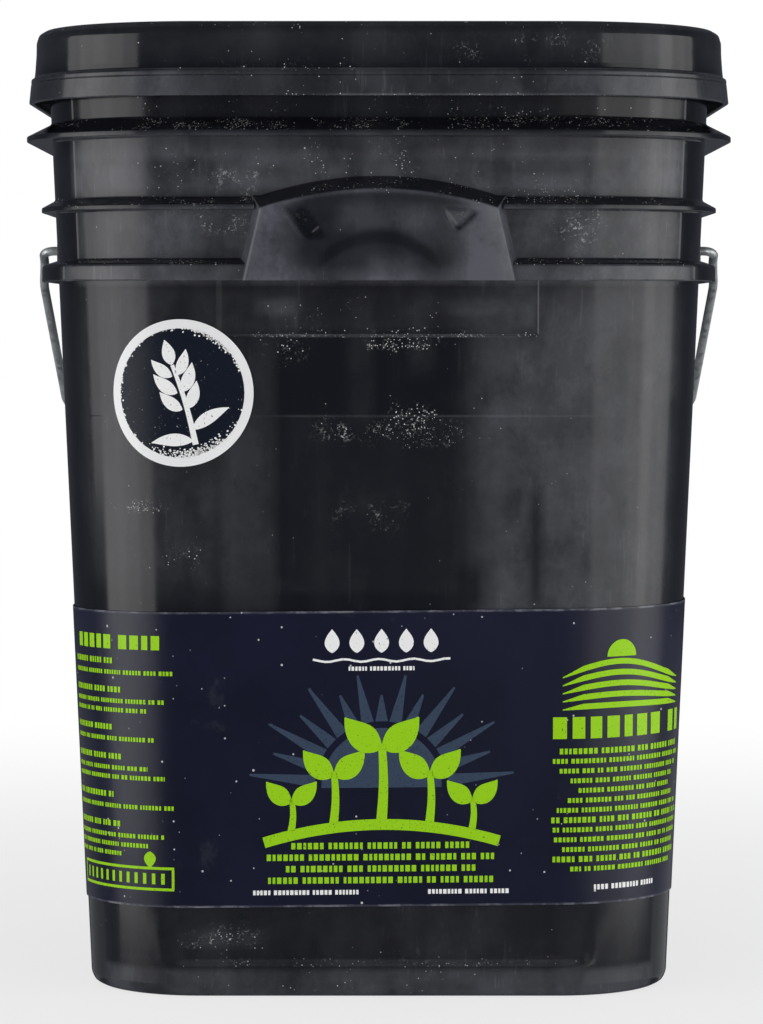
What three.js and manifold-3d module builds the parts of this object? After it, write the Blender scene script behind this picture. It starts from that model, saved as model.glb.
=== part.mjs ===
// A square plastic pail of about 15 litres with a press-fit lid, a wire bail with a roller grip,
// a printed wrap label and a round sticker.
//
// Millimetres, +Z up. The origin is on the ground under the middle of the pail. The front, which
// carries the sticker, faces -Y, and the bail turns about an axis along X.

import * as THREE from 'three';
import { mergeVertices } from 'three/addons/utils/BufferGeometryUtils.js';
import Module from 'manifold-3d';

const wasm = await Module();
wasm.setup();

// ---------------------------------------------------------------- driving dimensions

// Plan: every level is a rounded square whose corner arcs share these centres, so a wider level
// also has rounder corners.
const CORNER_CENTRE = 66;
const CORNER_STEPS = 8;

// Pail body
const BASE_HALF = 108.2;
const TAPER = 0.0437;
const WALL = 2.4;
const FLOOR_TOP = 6.5;
const FOOT_OUTER = 104.8;
const GROOVE_INNER = 86;
const GROOVE_OUTER = 97;
const GROOVE_DEPTH = 1.6;
const BASE_THICKEN = 5;
const RIM_TOP = 350.9;

// Band and ribs round the body: reach from the axis, and heights
const BAND_REACH = 125.9;
const BAND_BOTTOM = 262.6;
const BAND_TOP = 268.7;
const BAND_ROOT = 270.5;
const BAND_SKIN = 2;
const RIB_LOW_REACH = 126;
const RIB_LOW_UNDER = 288.2;
const RIB_LOW_TIP = 290;
const RIB_LOW_ROOT = 292.7;
const RIB_HIGH_REACH = 131.4;
const RIB_HIGH_UNDER = 314.4;
const RIB_HIGH_TIP = 316.4;
const RIB_HIGH_ROOT = 321;
const BEAD_REACH = 125.2;
const BEAD_Z = 340.2;

// Moulded hand grips on the front and the back
const GRIP_REACH = 132;
const GRIP_BULGE = 2.4;
const GRIP_HALF_BOTTOM = 48.6;
const GRIP_HALF_TOP = 42.6;
const GRIP_FLARE_BOTTOM = 3.2;
const GRIP_FLARE_TOP = 3.2;
const GRIP_ARCH_END = 288.4;
const GRIP_ARCH_MID = 295.3;
const GRIP_ROOT_RISE = 5.2;
const GRIP_SKIN = 2.2;
const GRIP_STATIONS = 12;

// Shallow recess under each hand grip, and the scoop at the foot of the wall
const RECESS_HALF = 57.7;
const RECESS_BOTTOM = 243;
const RECESS_TOP = 266;
const RECESS_DEPTH = 0.9;
const SCOOP_HALF = 72;
const SCOOP_BOTTOM = 11.8;
const SCOOP_TOP = 36;
const SCOOP_DEPTH = 2.6;

// Lid
const LID_BOTTOM = 328.6;
const LID_REACH = 130.5;
const LID_STEP_Z = 337.6;
const LID_UPPER_REACH = 127.7;
const LID_TOP = 355.6;
const LID_SKIN = 2.2;
const LID_PANEL_TOP = 343.8;
const LID_RIM_INNER = 118.1;
const LID_PLUG_REACH = 120.2;
const LID_CEILING = 353.3;
const GASKET_BOTTOM = 351.2;
const GASKET_TOP = 353;

// Bail
const PIVOT_Z = 275.5;
const REST_ANGLE = THREE.MathUtils.degToRad(24.5);
const WIRE_RADIUS = 1.75;
const WIRE_SIDES = 12;
const EYE_X = 131.5;
const EYE_BEND = 4.5;
const LEG_X = 133.6;
const SPLAY_END = 36;
const LEG_LENGTH = 168;
const CORNER_BEND = 25;
const PIN_INNER_X = 120.3;
const HEAD_RADIUS = 3.1;
const HEAD_THICK = 2;

// Ears that carry the bail
const EAR_REACH = 125.6;
const EAR_RADIUS = 6.5;
const EAR_FOOT_Z = 264;
const EAR_BORE_RADIUS = 2.15;
const EAR_POCKET_RADIUS = 3.6;
const EAR_POCKET_START = 119.8;
const EAR_POCKET_END = 123.6;

// Roller grip on the bail
const ROLLER_RADIUS = 11;
const ROLLER_LENGTH = 90;
const ROLLER_BORE = 2.1;
const ROLLER_SIDES = 32;

// Printed film
const FILM_GAP = 0.3;
const FILM_THICK = 0.3;
const LABEL_BOTTOM = 34;
const LABEL_TOP = 142.9;
const STICKER_RADIUS = 26.7;
const STICKER_ALONG = -72;
const STICKER_Z = 222;
const STICKER_RINGS = 4;
const STICKER_SEGMENTS = 40;

// ---------------------------------------------------------------- materials

const blackPlastic = new THREE.MeshStandardMaterial({ color: 0x15161b, roughness: 0.3, metalness: 0 });
const lidPlastic = new THREE.MeshStandardMaterial({ color: 0x1a1b20, roughness: 0.28, metalness: 0 });
const rollerPlastic = new THREE.MeshStandardMaterial({ color: 0x101114, roughness: 0.45, metalness: 0 });
const foam = new THREE.MeshStandardMaterial({ color: 0xb9b7ae, roughness: 0.95, metalness: 0 });
const steel = new THREE.MeshStandardMaterial({ color: 0xa9adae, roughness: 0.38, metalness: 1 });
const labelFilm = new THREE.MeshStandardMaterial({ color: 0x1b2340, roughness: 0.35, metalness: 0 });
const stickerFilm = new THREE.MeshStandardMaterial({ color: 0xe9eaec, roughness: 0.4, metalness: 0 });

// ---------------------------------------------------------------- solids

// A closed three.js geometry as a manifold solid.
function toSolid(geometry) {
  const bare = geometry.clone();
  bare.deleteAttribute('normal');
  bare.deleteAttribute('uv');
  const merged = mergeVertices(bare, 1e-4);
  const vertProperties = new Float32Array(merged.attributes.position.array);
  const triVerts = new Uint32Array(merged.index.array);
  return new wasm.Manifold(new wasm.Mesh({ numProp: 3, vertProperties, triVerts }));
}

// A manifold solid as a three.js geometry with face normals.
function toGeometry(solid) {
  const mesh = solid.getMesh();
  const geometry = new THREE.BufferGeometry();
  geometry.setAttribute('position', new THREE.Float32BufferAttribute(mesh.vertProperties, 3));
  geometry.setIndex(new THREE.Uint32BufferAttribute(mesh.triVerts, 1));
  geometry.computeVertexNormals();
  return geometry;
}

function meshOf(name, geometry, material) {
  const mesh = new THREE.Mesh(geometry, material);
  mesh.name = name;
  return mesh;
}

// Points and triangles as an indexed geometry.
function indexed(points, triangles) {
  const geometry = new THREE.BufferGeometry();
  geometry.setAttribute('position', new THREE.Float32BufferAttribute(points.flatMap((p) => p.toArray()), 3));
  geometry.setIndex(triangles.flat());
  return geometry;
}

// ---------------------------------------------------------------- plan shapes

// Half the outer width of the wall at a height.
function wallAt(z) {
  return BASE_HALF + TAPER * z;
}

// The rounded square at one level, anticlockwise seen from above.
function squareRing(halfWidth, z) {
  const radius = halfWidth - CORNER_CENTRE;
  const points = [];
  for (let corner = 0; corner < 4; corner += 1) {
    const start = (corner * Math.PI) / 2;
    const middle = start + Math.PI / 4;
    const centreX = CORNER_CENTRE * Math.sign(Math.cos(middle));
    const centreY = CORNER_CENTRE * Math.sign(Math.sin(middle));
    for (let step = 0; step <= CORNER_STEPS; step += 1) {
      const angle = start + (step / CORNER_STEPS) * (Math.PI / 2);
      points.push(new THREE.Vector3(centreX + radius * Math.cos(angle), centreY + radius * Math.sin(angle), z));
    }
  }
  return points;
}

// A lathe on a rounded square: the closed profile [half width, height] runs anticlockwise, and a
// half width of 0 is a point on the axis.
function squareLathe(profile) {
  const points = [];
  const rings = profile.map(([halfWidth, z]) => {
    const ring = halfWidth === 0 ? [new THREE.Vector3(0, 0, z)] : squareRing(halfWidth, z);
    const first = points.length;
    points.push(...ring);
    return ring.map((_, index) => first + index);
  });
  const triangles = [];
  rings.forEach((lower, index) => {
    const upper = rings[(index + 1) % rings.length];
    const count = Math.max(lower.length, upper.length);
    for (let j = 0; j < count; j += 1) {
      const next = (j + 1) % count;
      if (lower.length > 1) {
        triangles.push([lower[j], lower[next], upper[upper.length > 1 ? next : 0]]);
      }
      if (upper.length > 1) {
        triangles.push([lower[lower.length > 1 ? j : 0], upper[next], upper[j]]);
      }
    }
  });
  return indexed(points, triangles.filter(([a, b, c]) => a !== b && b !== c && c !== a));
}

// A point on the wall: distance along the outline from the front's middle, height, and lift off
// the surface.
function onWall(along, z, lift) {
  const radius = wallAt(z) + lift - CORNER_CENTRE;
  const past = Math.abs(along) - CORNER_CENTRE;
  if (past <= 0) {
    return new THREE.Vector3(along, -(CORNER_CENTRE + radius), z);
  }
  const angle = past / radius;
  const x = CORNER_CENTRE + radius * Math.sin(angle);
  return new THREE.Vector3(Math.sign(along) * x, -(CORNER_CENTRE + radius * Math.cos(angle)), z);
}

// A solid through a row of like sections, each a list of points [outer foot, outer head, inner
// head, inner foot], set out towards +X.
function throughSections(sections) {
  const size = sections[0].length;
  const triangles = [];
  for (let i = 0; i + 1 < sections.length; i += 1) {
    for (let k = 0; k < size; k += 1) {
      const here = i * size + k;
      const up = i * size + ((k + 1) % size);
      triangles.push([here, here + size, up + size], [here, up + size, up]);
    }
  }
  const last = (sections.length - 1) * size;
  for (let k = 1; k + 1 < size; k += 1) {
    triangles.push([0, k, k + 1], [last, last + k + 1, last + k]);
  }
  return indexed(sections.flat(), triangles);
}

// The same solid on the front and, turned half round, on the back.
function frontAndBack(geometry) {
  return toSolid(geometry).add(toSolid(geometry.clone().rotateZ(Math.PI)));
}

// ---------------------------------------------------------------- pail body

function bodyShell() {
  const profile = [
    [0, 0],
    [GROOVE_INNER, 0],
    [GROOVE_INNER + 1, GROOVE_DEPTH],
    [GROOVE_OUTER - 1, GROOVE_DEPTH],
    [GROOVE_OUTER, 0],
    [FOOT_OUTER, 0],
    [FOOT_OUTER + 2.3, 1.1],
    [wallAt(3.6), 3.6],
    [wallAt(SCOOP_TOP), SCOOP_TOP],
    [wallAt(RECESS_BOTTOM - 4), RECESS_BOTTOM - 4],
    [wallAt(BAND_TOP - 2), BAND_TOP - 2],
    [BAND_REACH - BAND_SKIN, BAND_TOP - 2.4],
    [BAND_REACH - BAND_SKIN, BAND_BOTTOM],
    [BAND_REACH - 0.4, BAND_BOTTOM],
    [BAND_REACH, BAND_BOTTOM + 0.6],
    [BAND_REACH, BAND_TOP - 0.8],
    [BAND_REACH - 0.5, BAND_TOP],
    [wallAt(BAND_ROOT), BAND_ROOT],
    [wallAt(RIB_LOW_UNDER), RIB_LOW_UNDER],
    [RIB_LOW_REACH - 0.2, RIB_LOW_UNDER + 0.4],
    [RIB_LOW_REACH, RIB_LOW_TIP - 0.7],
    [RIB_LOW_REACH - 0.3, RIB_LOW_TIP],
    [wallAt(RIB_LOW_ROOT), RIB_LOW_ROOT],
    [wallAt(RIB_HIGH_UNDER), RIB_HIGH_UNDER],
    [RIB_HIGH_REACH - 0.2, RIB_HIGH_UNDER + 0.3],
    [RIB_HIGH_REACH, RIB_HIGH_TIP - 0.8],
    [RIB_HIGH_REACH - 0.3, RIB_HIGH_TIP],
    [wallAt(RIB_HIGH_ROOT), RIB_HIGH_ROOT],
    [wallAt(BEAD_Z - 1.8), BEAD_Z - 1.8],
    [BEAD_REACH, BEAD_Z - 0.9],
    [BEAD_REACH, BEAD_Z + 1],
    [wallAt(BEAD_Z + 3), BEAD_Z + 3],
    [wallAt(RIM_TOP), RIM_TOP],
    [wallAt(RIM_TOP) - WALL, RIM_TOP],
    [wallAt(SCOOP_TOP + 6) - WALL, SCOOP_TOP + 6],
    [wallAt(SCOOP_BOTTOM) - BASE_THICKEN, SCOOP_BOTTOM],
    [wallAt(SCOOP_BOTTOM) - BASE_THICKEN - 3, FLOOR_TOP],
    [0, FLOOR_TOP],
  ];
  return toSolid(squareLathe(profile));
}

// A hand grip's block: an arched plate that stands off the wall, with sides and top that slope
// back to it. The skin is taken off all round, and the foot sinks below the plate.
function gripBlock(skin, foot, rootOffset) {
  const sections = [];
  for (let i = 0; i <= GRIP_STATIONS; i += 1) {
    const t = (2 * i) / GRIP_STATIONS - 1;
    const reach = GRIP_REACH - GRIP_BULGE * t * t - skin;
    const arch = GRIP_ARCH_MID - (GRIP_ARCH_MID - GRIP_ARCH_END) * t * t - skin;
    const low = GRIP_HALF_BOTTOM - skin;
    const high = GRIP_HALF_TOP - skin;
    const root = arch + GRIP_ROOT_RISE;
    sections.push([
      new THREE.Vector3(t * low, -reach, foot),
      new THREE.Vector3(t * high, -reach, arch),
      new THREE.Vector3(t * (high + GRIP_FLARE_TOP), -(wallAt(root) + rootOffset), root),
      new THREE.Vector3(t * (low + GRIP_FLARE_BOTTOM), -(wallAt(foot) + rootOffset), foot),
    ]);
  }
  return throughSections(sections);
}

// A cut into the front wall between two heights, deep at each by its own amount.
function wallCut(halfWidth, bottom, top, depthBottom, depthTop, outward) {
  const section = (x) => [
    new THREE.Vector3(x, -(wallAt(bottom) + outward), bottom),
    new THREE.Vector3(x, -(wallAt(top) + outward), top),
    new THREE.Vector3(x, -(wallAt(top) - depthTop), top),
    new THREE.Vector3(x, -(wallAt(bottom) - depthBottom), bottom),
  ];
  return throughSections([section(-halfWidth), section(halfWidth)]);
}

// A cylinder along X between two places.
function rodAlongX(radius, fromX, toX) {
  const rod = new THREE.CylinderGeometry(radius, radius, toX - fromX, 24);
  return rod.rotateZ(Math.PI / 2).translate((fromX + toX) / 2, 0, PIVOT_Z);
}

// One ear on the +X wall: a round-headed boss that stands on the band.
function earBoss() {
  const outline = new THREE.Shape();
  outline.moveTo(-EAR_RADIUS, EAR_FOOT_Z);
  outline.lineTo(EAR_RADIUS, EAR_FOOT_Z);
  outline.lineTo(EAR_RADIUS, PIVOT_Z);
  outline.absarc(0, PIVOT_Z, EAR_RADIUS, 0, Math.PI, false);
  outline.closePath();
  const inside = wallAt(PIVOT_Z) - WALL / 2;
  const options = { depth: EAR_REACH - inside, bevelEnabled: false, curveSegments: 14 };
  const boss = new THREE.ExtrudeGeometry(outline, options);
  const turn = new THREE.Matrix4().makeBasis(
    new THREE.Vector3(0, 1, 0),
    new THREE.Vector3(0, 0, 1),
    new THREE.Vector3(1, 0, 0),
  );
  return boss.applyMatrix4(turn).translate(inside, 0, 0);
}

function pailBody() {
  const grips = frontAndBack(gripBlock(0, BAND_BOTTOM, -WALL / 2));
  const fingerRooms = frontAndBack(gripBlock(GRIP_SKIN, BAND_BOTTOM - 1, 0.05));
  const recesses = frontAndBack(wallCut(RECESS_HALF, RECESS_BOTTOM, RECESS_TOP, RECESS_DEPTH, RECESS_DEPTH, 3));
  const scoops = frontAndBack(wallCut(SCOOP_HALF, SCOOP_BOTTOM, SCOOP_TOP, SCOOP_DEPTH, 0, 3));
  const ears = frontAndBack(earBoss());
  const pockets = frontAndBack(rodAlongX(EAR_POCKET_RADIUS, EAR_POCKET_START, EAR_POCKET_END));
  const bores = frontAndBack(rodAlongX(EAR_BORE_RADIUS, EAR_POCKET_END - 1, EAR_REACH + 1));
  const walls = bodyShell().add(grips).add(ears);
  return walls.subtract(fingerRooms).subtract(recesses).subtract(scoops).subtract(pockets).subtract(bores);
}

// ---------------------------------------------------------------- lid and gasket

function lid() {
  const innerReach = LID_UPPER_REACH - LID_SKIN;
  const profile = [
    [LID_REACH, LID_BOTTOM],
    [LID_REACH - 0.9, LID_STEP_Z],
    [LID_REACH - 1.3, LID_STEP_Z + 0.6],
    [LID_REACH - 2.2, LID_STEP_Z + 3.8],
    [LID_UPPER_REACH + 0.1, LID_STEP_Z + 7.8],
    [LID_UPPER_REACH, LID_TOP - 4.6],
    [LID_UPPER_REACH - 0.8, LID_TOP - 2.2],
    [LID_UPPER_REACH - 2.6, LID_TOP - 0.6],
    [LID_UPPER_REACH - 4.8, LID_TOP],
    [LID_RIM_INNER + 1.4, LID_TOP],
    [LID_RIM_INNER, LID_TOP - 0.9],
    [LID_RIM_INNER - 0.7, LID_PANEL_TOP + 2],
    [LID_RIM_INNER - 2.6, LID_PANEL_TOP],
    [0, LID_PANEL_TOP],
    [0, LID_PANEL_TOP - LID_SKIN],
    [LID_PLUG_REACH - 1.9, LID_PANEL_TOP - LID_SKIN],
    [LID_PLUG_REACH, LID_PANEL_TOP + 1.2],
    [LID_PLUG_REACH, LID_CEILING],
    [innerReach - 0.3, LID_CEILING],
    [innerReach, LID_CEILING - 2.8],
    [innerReach + 0.2, BEAD_Z + 5.4],
    [BEAD_REACH + 1, BEAD_Z + 1.6],
    [BEAD_REACH + 1.4, BEAD_Z - 1.2],
    [BEAD_REACH - 0.6, BEAD_Z - 3],
    [BEAD_REACH - 0.6, BEAD_Z - 4],
    [LID_REACH - 2.4, BEAD_Z - 6],
    [LID_REACH - LID_SKIN + 0.2, LID_BOTTOM],
  ];
  return toSolid(squareLathe(profile));
}

function gasket() {
  const inner = LID_PLUG_REACH + 0.5;
  const outer = wallAt(RIM_TOP) + 1.1;
  const profile = [
    [inner, GASKET_BOTTOM],
    [outer, GASKET_BOTTOM],
    [outer, GASKET_TOP],
    [inner, GASKET_TOP],
  ];
  return toSolid(squareLathe(profile));
}

// ---------------------------------------------------------------- printed film

function wrapLabel() {
  const near = FILM_GAP;
  const far = FILM_GAP + FILM_THICK;
  const profile = [
    [wallAt(LABEL_BOTTOM) + near, LABEL_BOTTOM],
    [wallAt(LABEL_BOTTOM) + far, LABEL_BOTTOM],
    [wallAt(LABEL_TOP) + far, LABEL_TOP],
    [wallAt(LABEL_TOP) + near, LABEL_TOP],
  ];
  return toSolid(squareLathe(profile));
}

// A disc bent round the wall: rings of points on its outer and its inner face.
function roundSticker() {
  const points = [];
  [FILM_GAP + FILM_THICK, FILM_GAP].forEach((lift) => {
    points.push(onWall(STICKER_ALONG, STICKER_Z, lift));
    for (let ring = 1; ring <= STICKER_RINGS; ring += 1) {
      const radius = (STICKER_RADIUS * ring) / STICKER_RINGS;
      for (let j = 0; j < STICKER_SEGMENTS; j += 1) {
        const angle = (j / STICKER_SEGMENTS) * 2 * Math.PI;
        const along = STICKER_ALONG + radius * Math.cos(angle);
        points.push(onWall(along, STICKER_Z + radius * Math.sin(angle), lift));
      }
    }
  });
  const face = 1 + STICKER_RINGS * STICKER_SEGMENTS;
  const at = (side, ring, j) => side * face + (ring === 0 ? 0 : 1 + (ring - 1) * STICKER_SEGMENTS + (j % STICKER_SEGMENTS));
  const triangles = [];
  for (let j = 0; j < STICKER_SEGMENTS; j += 1) {
    triangles.push([at(0, 0, 0), at(0, 1, j), at(0, 1, j + 1)]);
    triangles.push([at(1, 0, 0), at(1, 1, j + 1), at(1, 1, j)]);
    for (let ring = 1; ring < STICKER_RINGS; ring += 1) {
      triangles.push([at(0, ring, j), at(0, ring + 1, j), at(0, ring + 1, j + 1)]);
      triangles.push([at(0, ring, j), at(0, ring + 1, j + 1), at(0, ring, j + 1)]);
      triangles.push([at(1, ring, j), at(1, ring + 1, j + 1), at(1, ring + 1, j)]);
      triangles.push([at(1, ring, j), at(1, ring, j + 1), at(1, ring + 1, j + 1)]);
    }
    triangles.push([at(0, STICKER_RINGS, j), at(1, STICKER_RINGS, j), at(1, STICKER_RINGS, j + 1)]);
    triangles.push([at(0, STICKER_RINGS, j), at(1, STICKER_RINGS, j + 1), at(0, STICKER_RINGS, j + 1)]);
  }
  return toSolid(indexed(points, triangles));
}

// ---------------------------------------------------------------- bail

// A path through given stations, each of them one step of an extrusion.
class StationPath extends THREE.Curve {
  constructor(stations) {
    super();
    this.stations = stations;
  }

  getUtoTmapping(u) {
    return u;
  }

  getPoint(t) {
    const place = t * (this.stations.length - 1);
    const index = Math.min(Math.floor(place), this.stations.length - 2);
    return this.stations[index].clone().lerp(this.stations[index + 1], place - index);
  }
}

// Stations on a quarter bend in the bail's own plane.
function bend(centreX, centreY, radius, startAngle, turn, steps) {
  const stations = [];
  for (let i = 0; i <= steps; i += 1) {
    const angle = startAngle + (turn * i) / steps;
    stations.push(new THREE.Vector3(centreX + radius * Math.cos(angle), centreY + radius * Math.sin(angle), 0));
  }
  return stations;
}

// The wire lies in its own XY plane: the pivot is X, and the legs run along +Y. From the eyes the
// legs splay out a little, so that they pass the upper rib and the lid.
function bailWire() {
  const quarter = Math.PI / 2;
  const rightHalf = [
    new THREE.Vector3(PIN_INNER_X + 0.4, 0, 0),
    ...bend(EYE_X - EYE_BEND, EYE_BEND, EYE_BEND, -quarter, quarter, 6),
    new THREE.Vector3(LEG_X, SPLAY_END, 0),
    ...bend(LEG_X - CORNER_BEND, LEG_LENGTH - CORNER_BEND, CORNER_BEND, 0, quarter, 9),
  ];
  const leftHalf = rightHalf.map((p) => new THREE.Vector3(-p.x, p.y, p.z)).reverse();
  const path = new StationPath([...rightHalf, ...leftHalf]);
  const section = new THREE.Shape();
  section.absarc(0, 0, WIRE_RADIUS, 0, 2 * Math.PI, false);
  const options = { extrudePath: path, steps: path.stations.length - 1, curveSegments: WIRE_SIDES, bevelEnabled: false };
  const wire = toSolid(new THREE.ExtrudeGeometry(section, options));
  const head = new THREE.CylinderGeometry(HEAD_RADIUS, HEAD_RADIUS, HEAD_THICK, 20).rotateZ(Math.PI / 2);
  const right = head.clone().translate(PIN_INNER_X + HEAD_THICK / 2, 0, 0);
  const left = head.clone().translate(-(PIN_INNER_X + HEAD_THICK / 2), 0, 0);
  return wire.add(toSolid(right)).add(toSolid(left));
}

// The roller turns on the wire: a tube with a slight waist at each end.
function rollerGrip() {
  const half = ROLLER_LENGTH / 2;
  const profile = [
    new THREE.Vector2(ROLLER_BORE, -half),
    new THREE.Vector2(ROLLER_RADIUS - 2, -half),
    new THREE.Vector2(ROLLER_RADIUS, -half + 2),
    new THREE.Vector2(ROLLER_RADIUS, -half + 6),
    new THREE.Vector2(ROLLER_RADIUS - 1, -half + 9),
    new THREE.Vector2(ROLLER_RADIUS - 0.3, 0),
    new THREE.Vector2(ROLLER_RADIUS - 1, half - 9),
    new THREE.Vector2(ROLLER_RADIUS, half - 6),
    new THREE.Vector2(ROLLER_RADIUS, half - 2),
    new THREE.Vector2(ROLLER_RADIUS - 2, half),
    new THREE.Vector2(ROLLER_BORE, half),
    new THREE.Vector2(ROLLER_BORE, -half),
  ];
  return toSolid(new THREE.LatheGeometry(profile, ROLLER_SIDES).rotateZ(-Math.PI / 2));
}

// ---------------------------------------------------------------- assembly

const bail = new THREE.Group();
bail.position.z = PIVOT_Z;
bail.rotation.x = -REST_ANGLE;
bail.add(meshOf('bail_wire', toGeometry(bailWire()), steel));
const roller = meshOf('bail_grip', toGeometry(rollerGrip()), rollerPlastic);
roller.position.y = LEG_LENGTH;
bail.add(roller);

const pail = new THREE.Group();
pail.add(meshOf('pail_body', toGeometry(pailBody()), blackPlastic));
pail.add(meshOf('lid', toGeometry(lid()), lidPlastic));
pail.add(meshOf('lid_gasket', toGeometry(gasket()), foam));
pail.add(meshOf('wrap_label', toGeometry(wrapLabel()), labelFilm));
pail.add(meshOf('round_sticker', toGeometry(roundSticker()), stickerFilm));
pail.add(bail);

export default pail;
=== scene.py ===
"""Looks of a square plastic seed pail: press-fit lid, wire bail with a roller, wrap label, sticker.

Lengths are millimetres and angles are degrees unless a name says otherwise. Meshes are written in
metres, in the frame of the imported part: +Z up, the front faces -Y, the bail turns about X.
"""

import logging
from dataclasses import dataclass, field
from enum import Enum
from typing import Sequence

import bpy
import numpy as np
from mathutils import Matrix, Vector


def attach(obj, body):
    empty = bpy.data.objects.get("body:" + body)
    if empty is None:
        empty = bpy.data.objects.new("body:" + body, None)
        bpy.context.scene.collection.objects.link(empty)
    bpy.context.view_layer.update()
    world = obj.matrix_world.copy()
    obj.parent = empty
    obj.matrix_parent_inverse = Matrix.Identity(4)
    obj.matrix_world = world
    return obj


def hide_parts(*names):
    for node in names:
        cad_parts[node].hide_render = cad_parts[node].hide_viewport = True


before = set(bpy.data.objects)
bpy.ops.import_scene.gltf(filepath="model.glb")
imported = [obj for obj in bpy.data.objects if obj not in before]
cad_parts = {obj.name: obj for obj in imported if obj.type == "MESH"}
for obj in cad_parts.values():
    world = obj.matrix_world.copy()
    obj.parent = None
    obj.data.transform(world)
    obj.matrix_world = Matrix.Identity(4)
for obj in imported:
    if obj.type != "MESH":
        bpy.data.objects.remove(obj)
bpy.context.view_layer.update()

MM = 0.001
LEDGE = (0.25, 0.6)  # how far up a surface faces where dust starts to lie on it, and where it all lies
LOG = logging.getLogger("pail")
Array = np.ndarray
Material = bpy.types.Material
Pair = tuple[float, float]
Triple = tuple[float, float, float]
Value = "Signal | float"


# ---- plain numbers


def smooth(low: float, high: float, value: Array) -> Array:
    """A step from 0 at low to 1 at high that starts and ends level: 3t^2 - 2t^3; high may be the lesser."""
    t = np.clip((np.asarray(value, dtype=float) - low) / (high - low), 0.0, 1.0)
    return t * t * (3.0 - 2.0 * t)


def soft_min(first: Array, second: Array, radius: float) -> Array:
    """The lesser of two heights; where they differ by less than the radius, a parabola joins them."""
    share = np.clip(0.5 + 0.5 * (second - first) / radius, 0.0, 1.0)
    return second * (1.0 - share) + first * share - radius * share * (1.0 - share)


def spread(first: float, last: float, step: float) -> Array:
    """Evenly spaced stations from first to last, at most step apart."""
    count = max(1, int(np.ceil(abs(last - first) / step)))
    return np.linspace(first, last, count + 1)


def full_turn(count: int) -> Array:
    """The angles of evenly spaced directions, once round."""
    return np.linspace(0, 2 * np.pi, count, endpoint=False)


# ---- meshes


@dataclass
class MeshData:
    """Points with the faces between them.

    Args:
        points: (n, 3) places in millimetres.
        quads: (m, 4) point numbers.
        triangles: (k, 3) point numbers.
        uv: (n, 2) texture places, or None.
    """

    points: Array
    quads: Array
    triangles: Array = field(default_factory=lambda: np.zeros((0, 3), dtype=int))
    uv: Array | None = None

    def turned_round(self) -> "MeshData":
        """The same mesh, turned half round the upright axis."""
        return MeshData(self.points * np.array([-1.0, -1.0, 1.0]), self.quads, self.triangles, self.uv)


class Shading(Enum):
    """How a piece's faces are shaded: the crease angle past which an edge stays sharp."""

    SMOOTH = 180.0
    MOULDED = 42.0
    FILM = 30.0


def join(parts: Sequence[MeshData]) -> MeshData:
    """Several meshes, all with texture places, side by side in one."""
    starts = np.cumsum([0] + [len(part.points) for part in parts[:-1]])
    return MeshData(
        points=np.concatenate([part.points for part in parts]),
        quads=np.concatenate([part.quads + start for part, start in zip(parts, starts)]),
        triangles=np.concatenate([part.triangles + start for part, start in zip(parts, starts)]),
        uv=np.concatenate([part.uv for part in parts]),
    )


def grid_quads(rows: int, columns: int, closed_rows: bool, closed_columns: bool) -> Array:
    """Quads of a grid of points numbered row by row.

    Args:
        rows: how many rows of points there are.
        columns: how many points a row has.
        closed_rows: whether the last row joins the first.
        closed_columns: whether a row's last point joins its first.

    Returns:
        (m, 4) point numbers; columns to the right and rows upwards give faces towards the viewer.
    """
    row, column = np.meshgrid(
        np.arange(rows if closed_rows else rows - 1),
        np.arange(columns if closed_columns else columns - 1),
        indexing="ij",
    )
    row, column = row.ravel(), column.ravel()
    above, right = (row + 1) % rows, (column + 1) % columns
    here, over = row * columns, above * columns
    return np.stack([here + column, here + right, over + right, over + column], axis=1)


def turned_mesh(points: Array, first_pole: Array, last_pole: Array) -> MeshData:
    """A closed skin: rows of points, each a closed ring, with a point to close either end.

    Args:
        points: (rows, columns, 3) places.
        first_pole: closes the first ring.
        last_pole: closes the last ring.

    Returns:
        The closed mesh.
    """
    rows, columns = points.shape[:2]
    count = rows * columns
    here = np.arange(columns)
    right = (here + 1) % columns
    top = (rows - 1) * columns
    fans = [
        np.stack([np.full(columns, count), right, here], axis=1),
        np.stack([top + here, top + right, np.full(columns, count + 1)], axis=1),
    ]
    return MeshData(
        points=np.concatenate([points.reshape(-1, 3), np.array([first_pole, last_pole], dtype=float)]),
        quads=grid_quads(rows, columns, False, True),
        triangles=np.concatenate(fans),
    )


def film_mesh(outer: Array, inner: Array) -> MeshData:
    """A thin sheet between two grids of points, closed round its edge.

    Args:
        outer: (rows, columns, 3) places on the outer face.
        inner: the same on the inner face.

    Returns:
        The sheet, with texture places from 0 to 1 along and across it.
    """
    rows, columns = outer.shape[:2]
    count = rows * columns
    face = grid_quads(rows, columns, False, False)
    number = np.arange(count).reshape(rows, columns)
    rim = np.concatenate([number[0], number[1:, -1], number[-1, -2::-1], number[-2::-1, 0]])
    sides = np.stack([rim[:-1] + count, rim[1:] + count, rim[1:], rim[:-1]], axis=1)
    across, along = np.meshgrid(np.linspace(0, 1, rows), np.linspace(0, 1, columns), indexing="ij")
    place = np.stack([along.ravel(), across.ravel()], axis=1)
    return MeshData(
        points=np.concatenate([outer.reshape(-1, 3), inner.reshape(-1, 3)]),
        quads=np.concatenate([face, face[:, ::-1] + count, sides]),
        uv=np.concatenate([place, place]),
    )


def read_points(mesh: bpy.types.Mesh, attribute: str) -> Array:
    """A vector attribute of every point of a mesh, (n, 3)."""
    values = np.empty(len(mesh.vertices) * 3, dtype=np.float32)
    mesh.vertices.foreach_get(attribute, values)
    return values.reshape(-1, 3)


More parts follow.
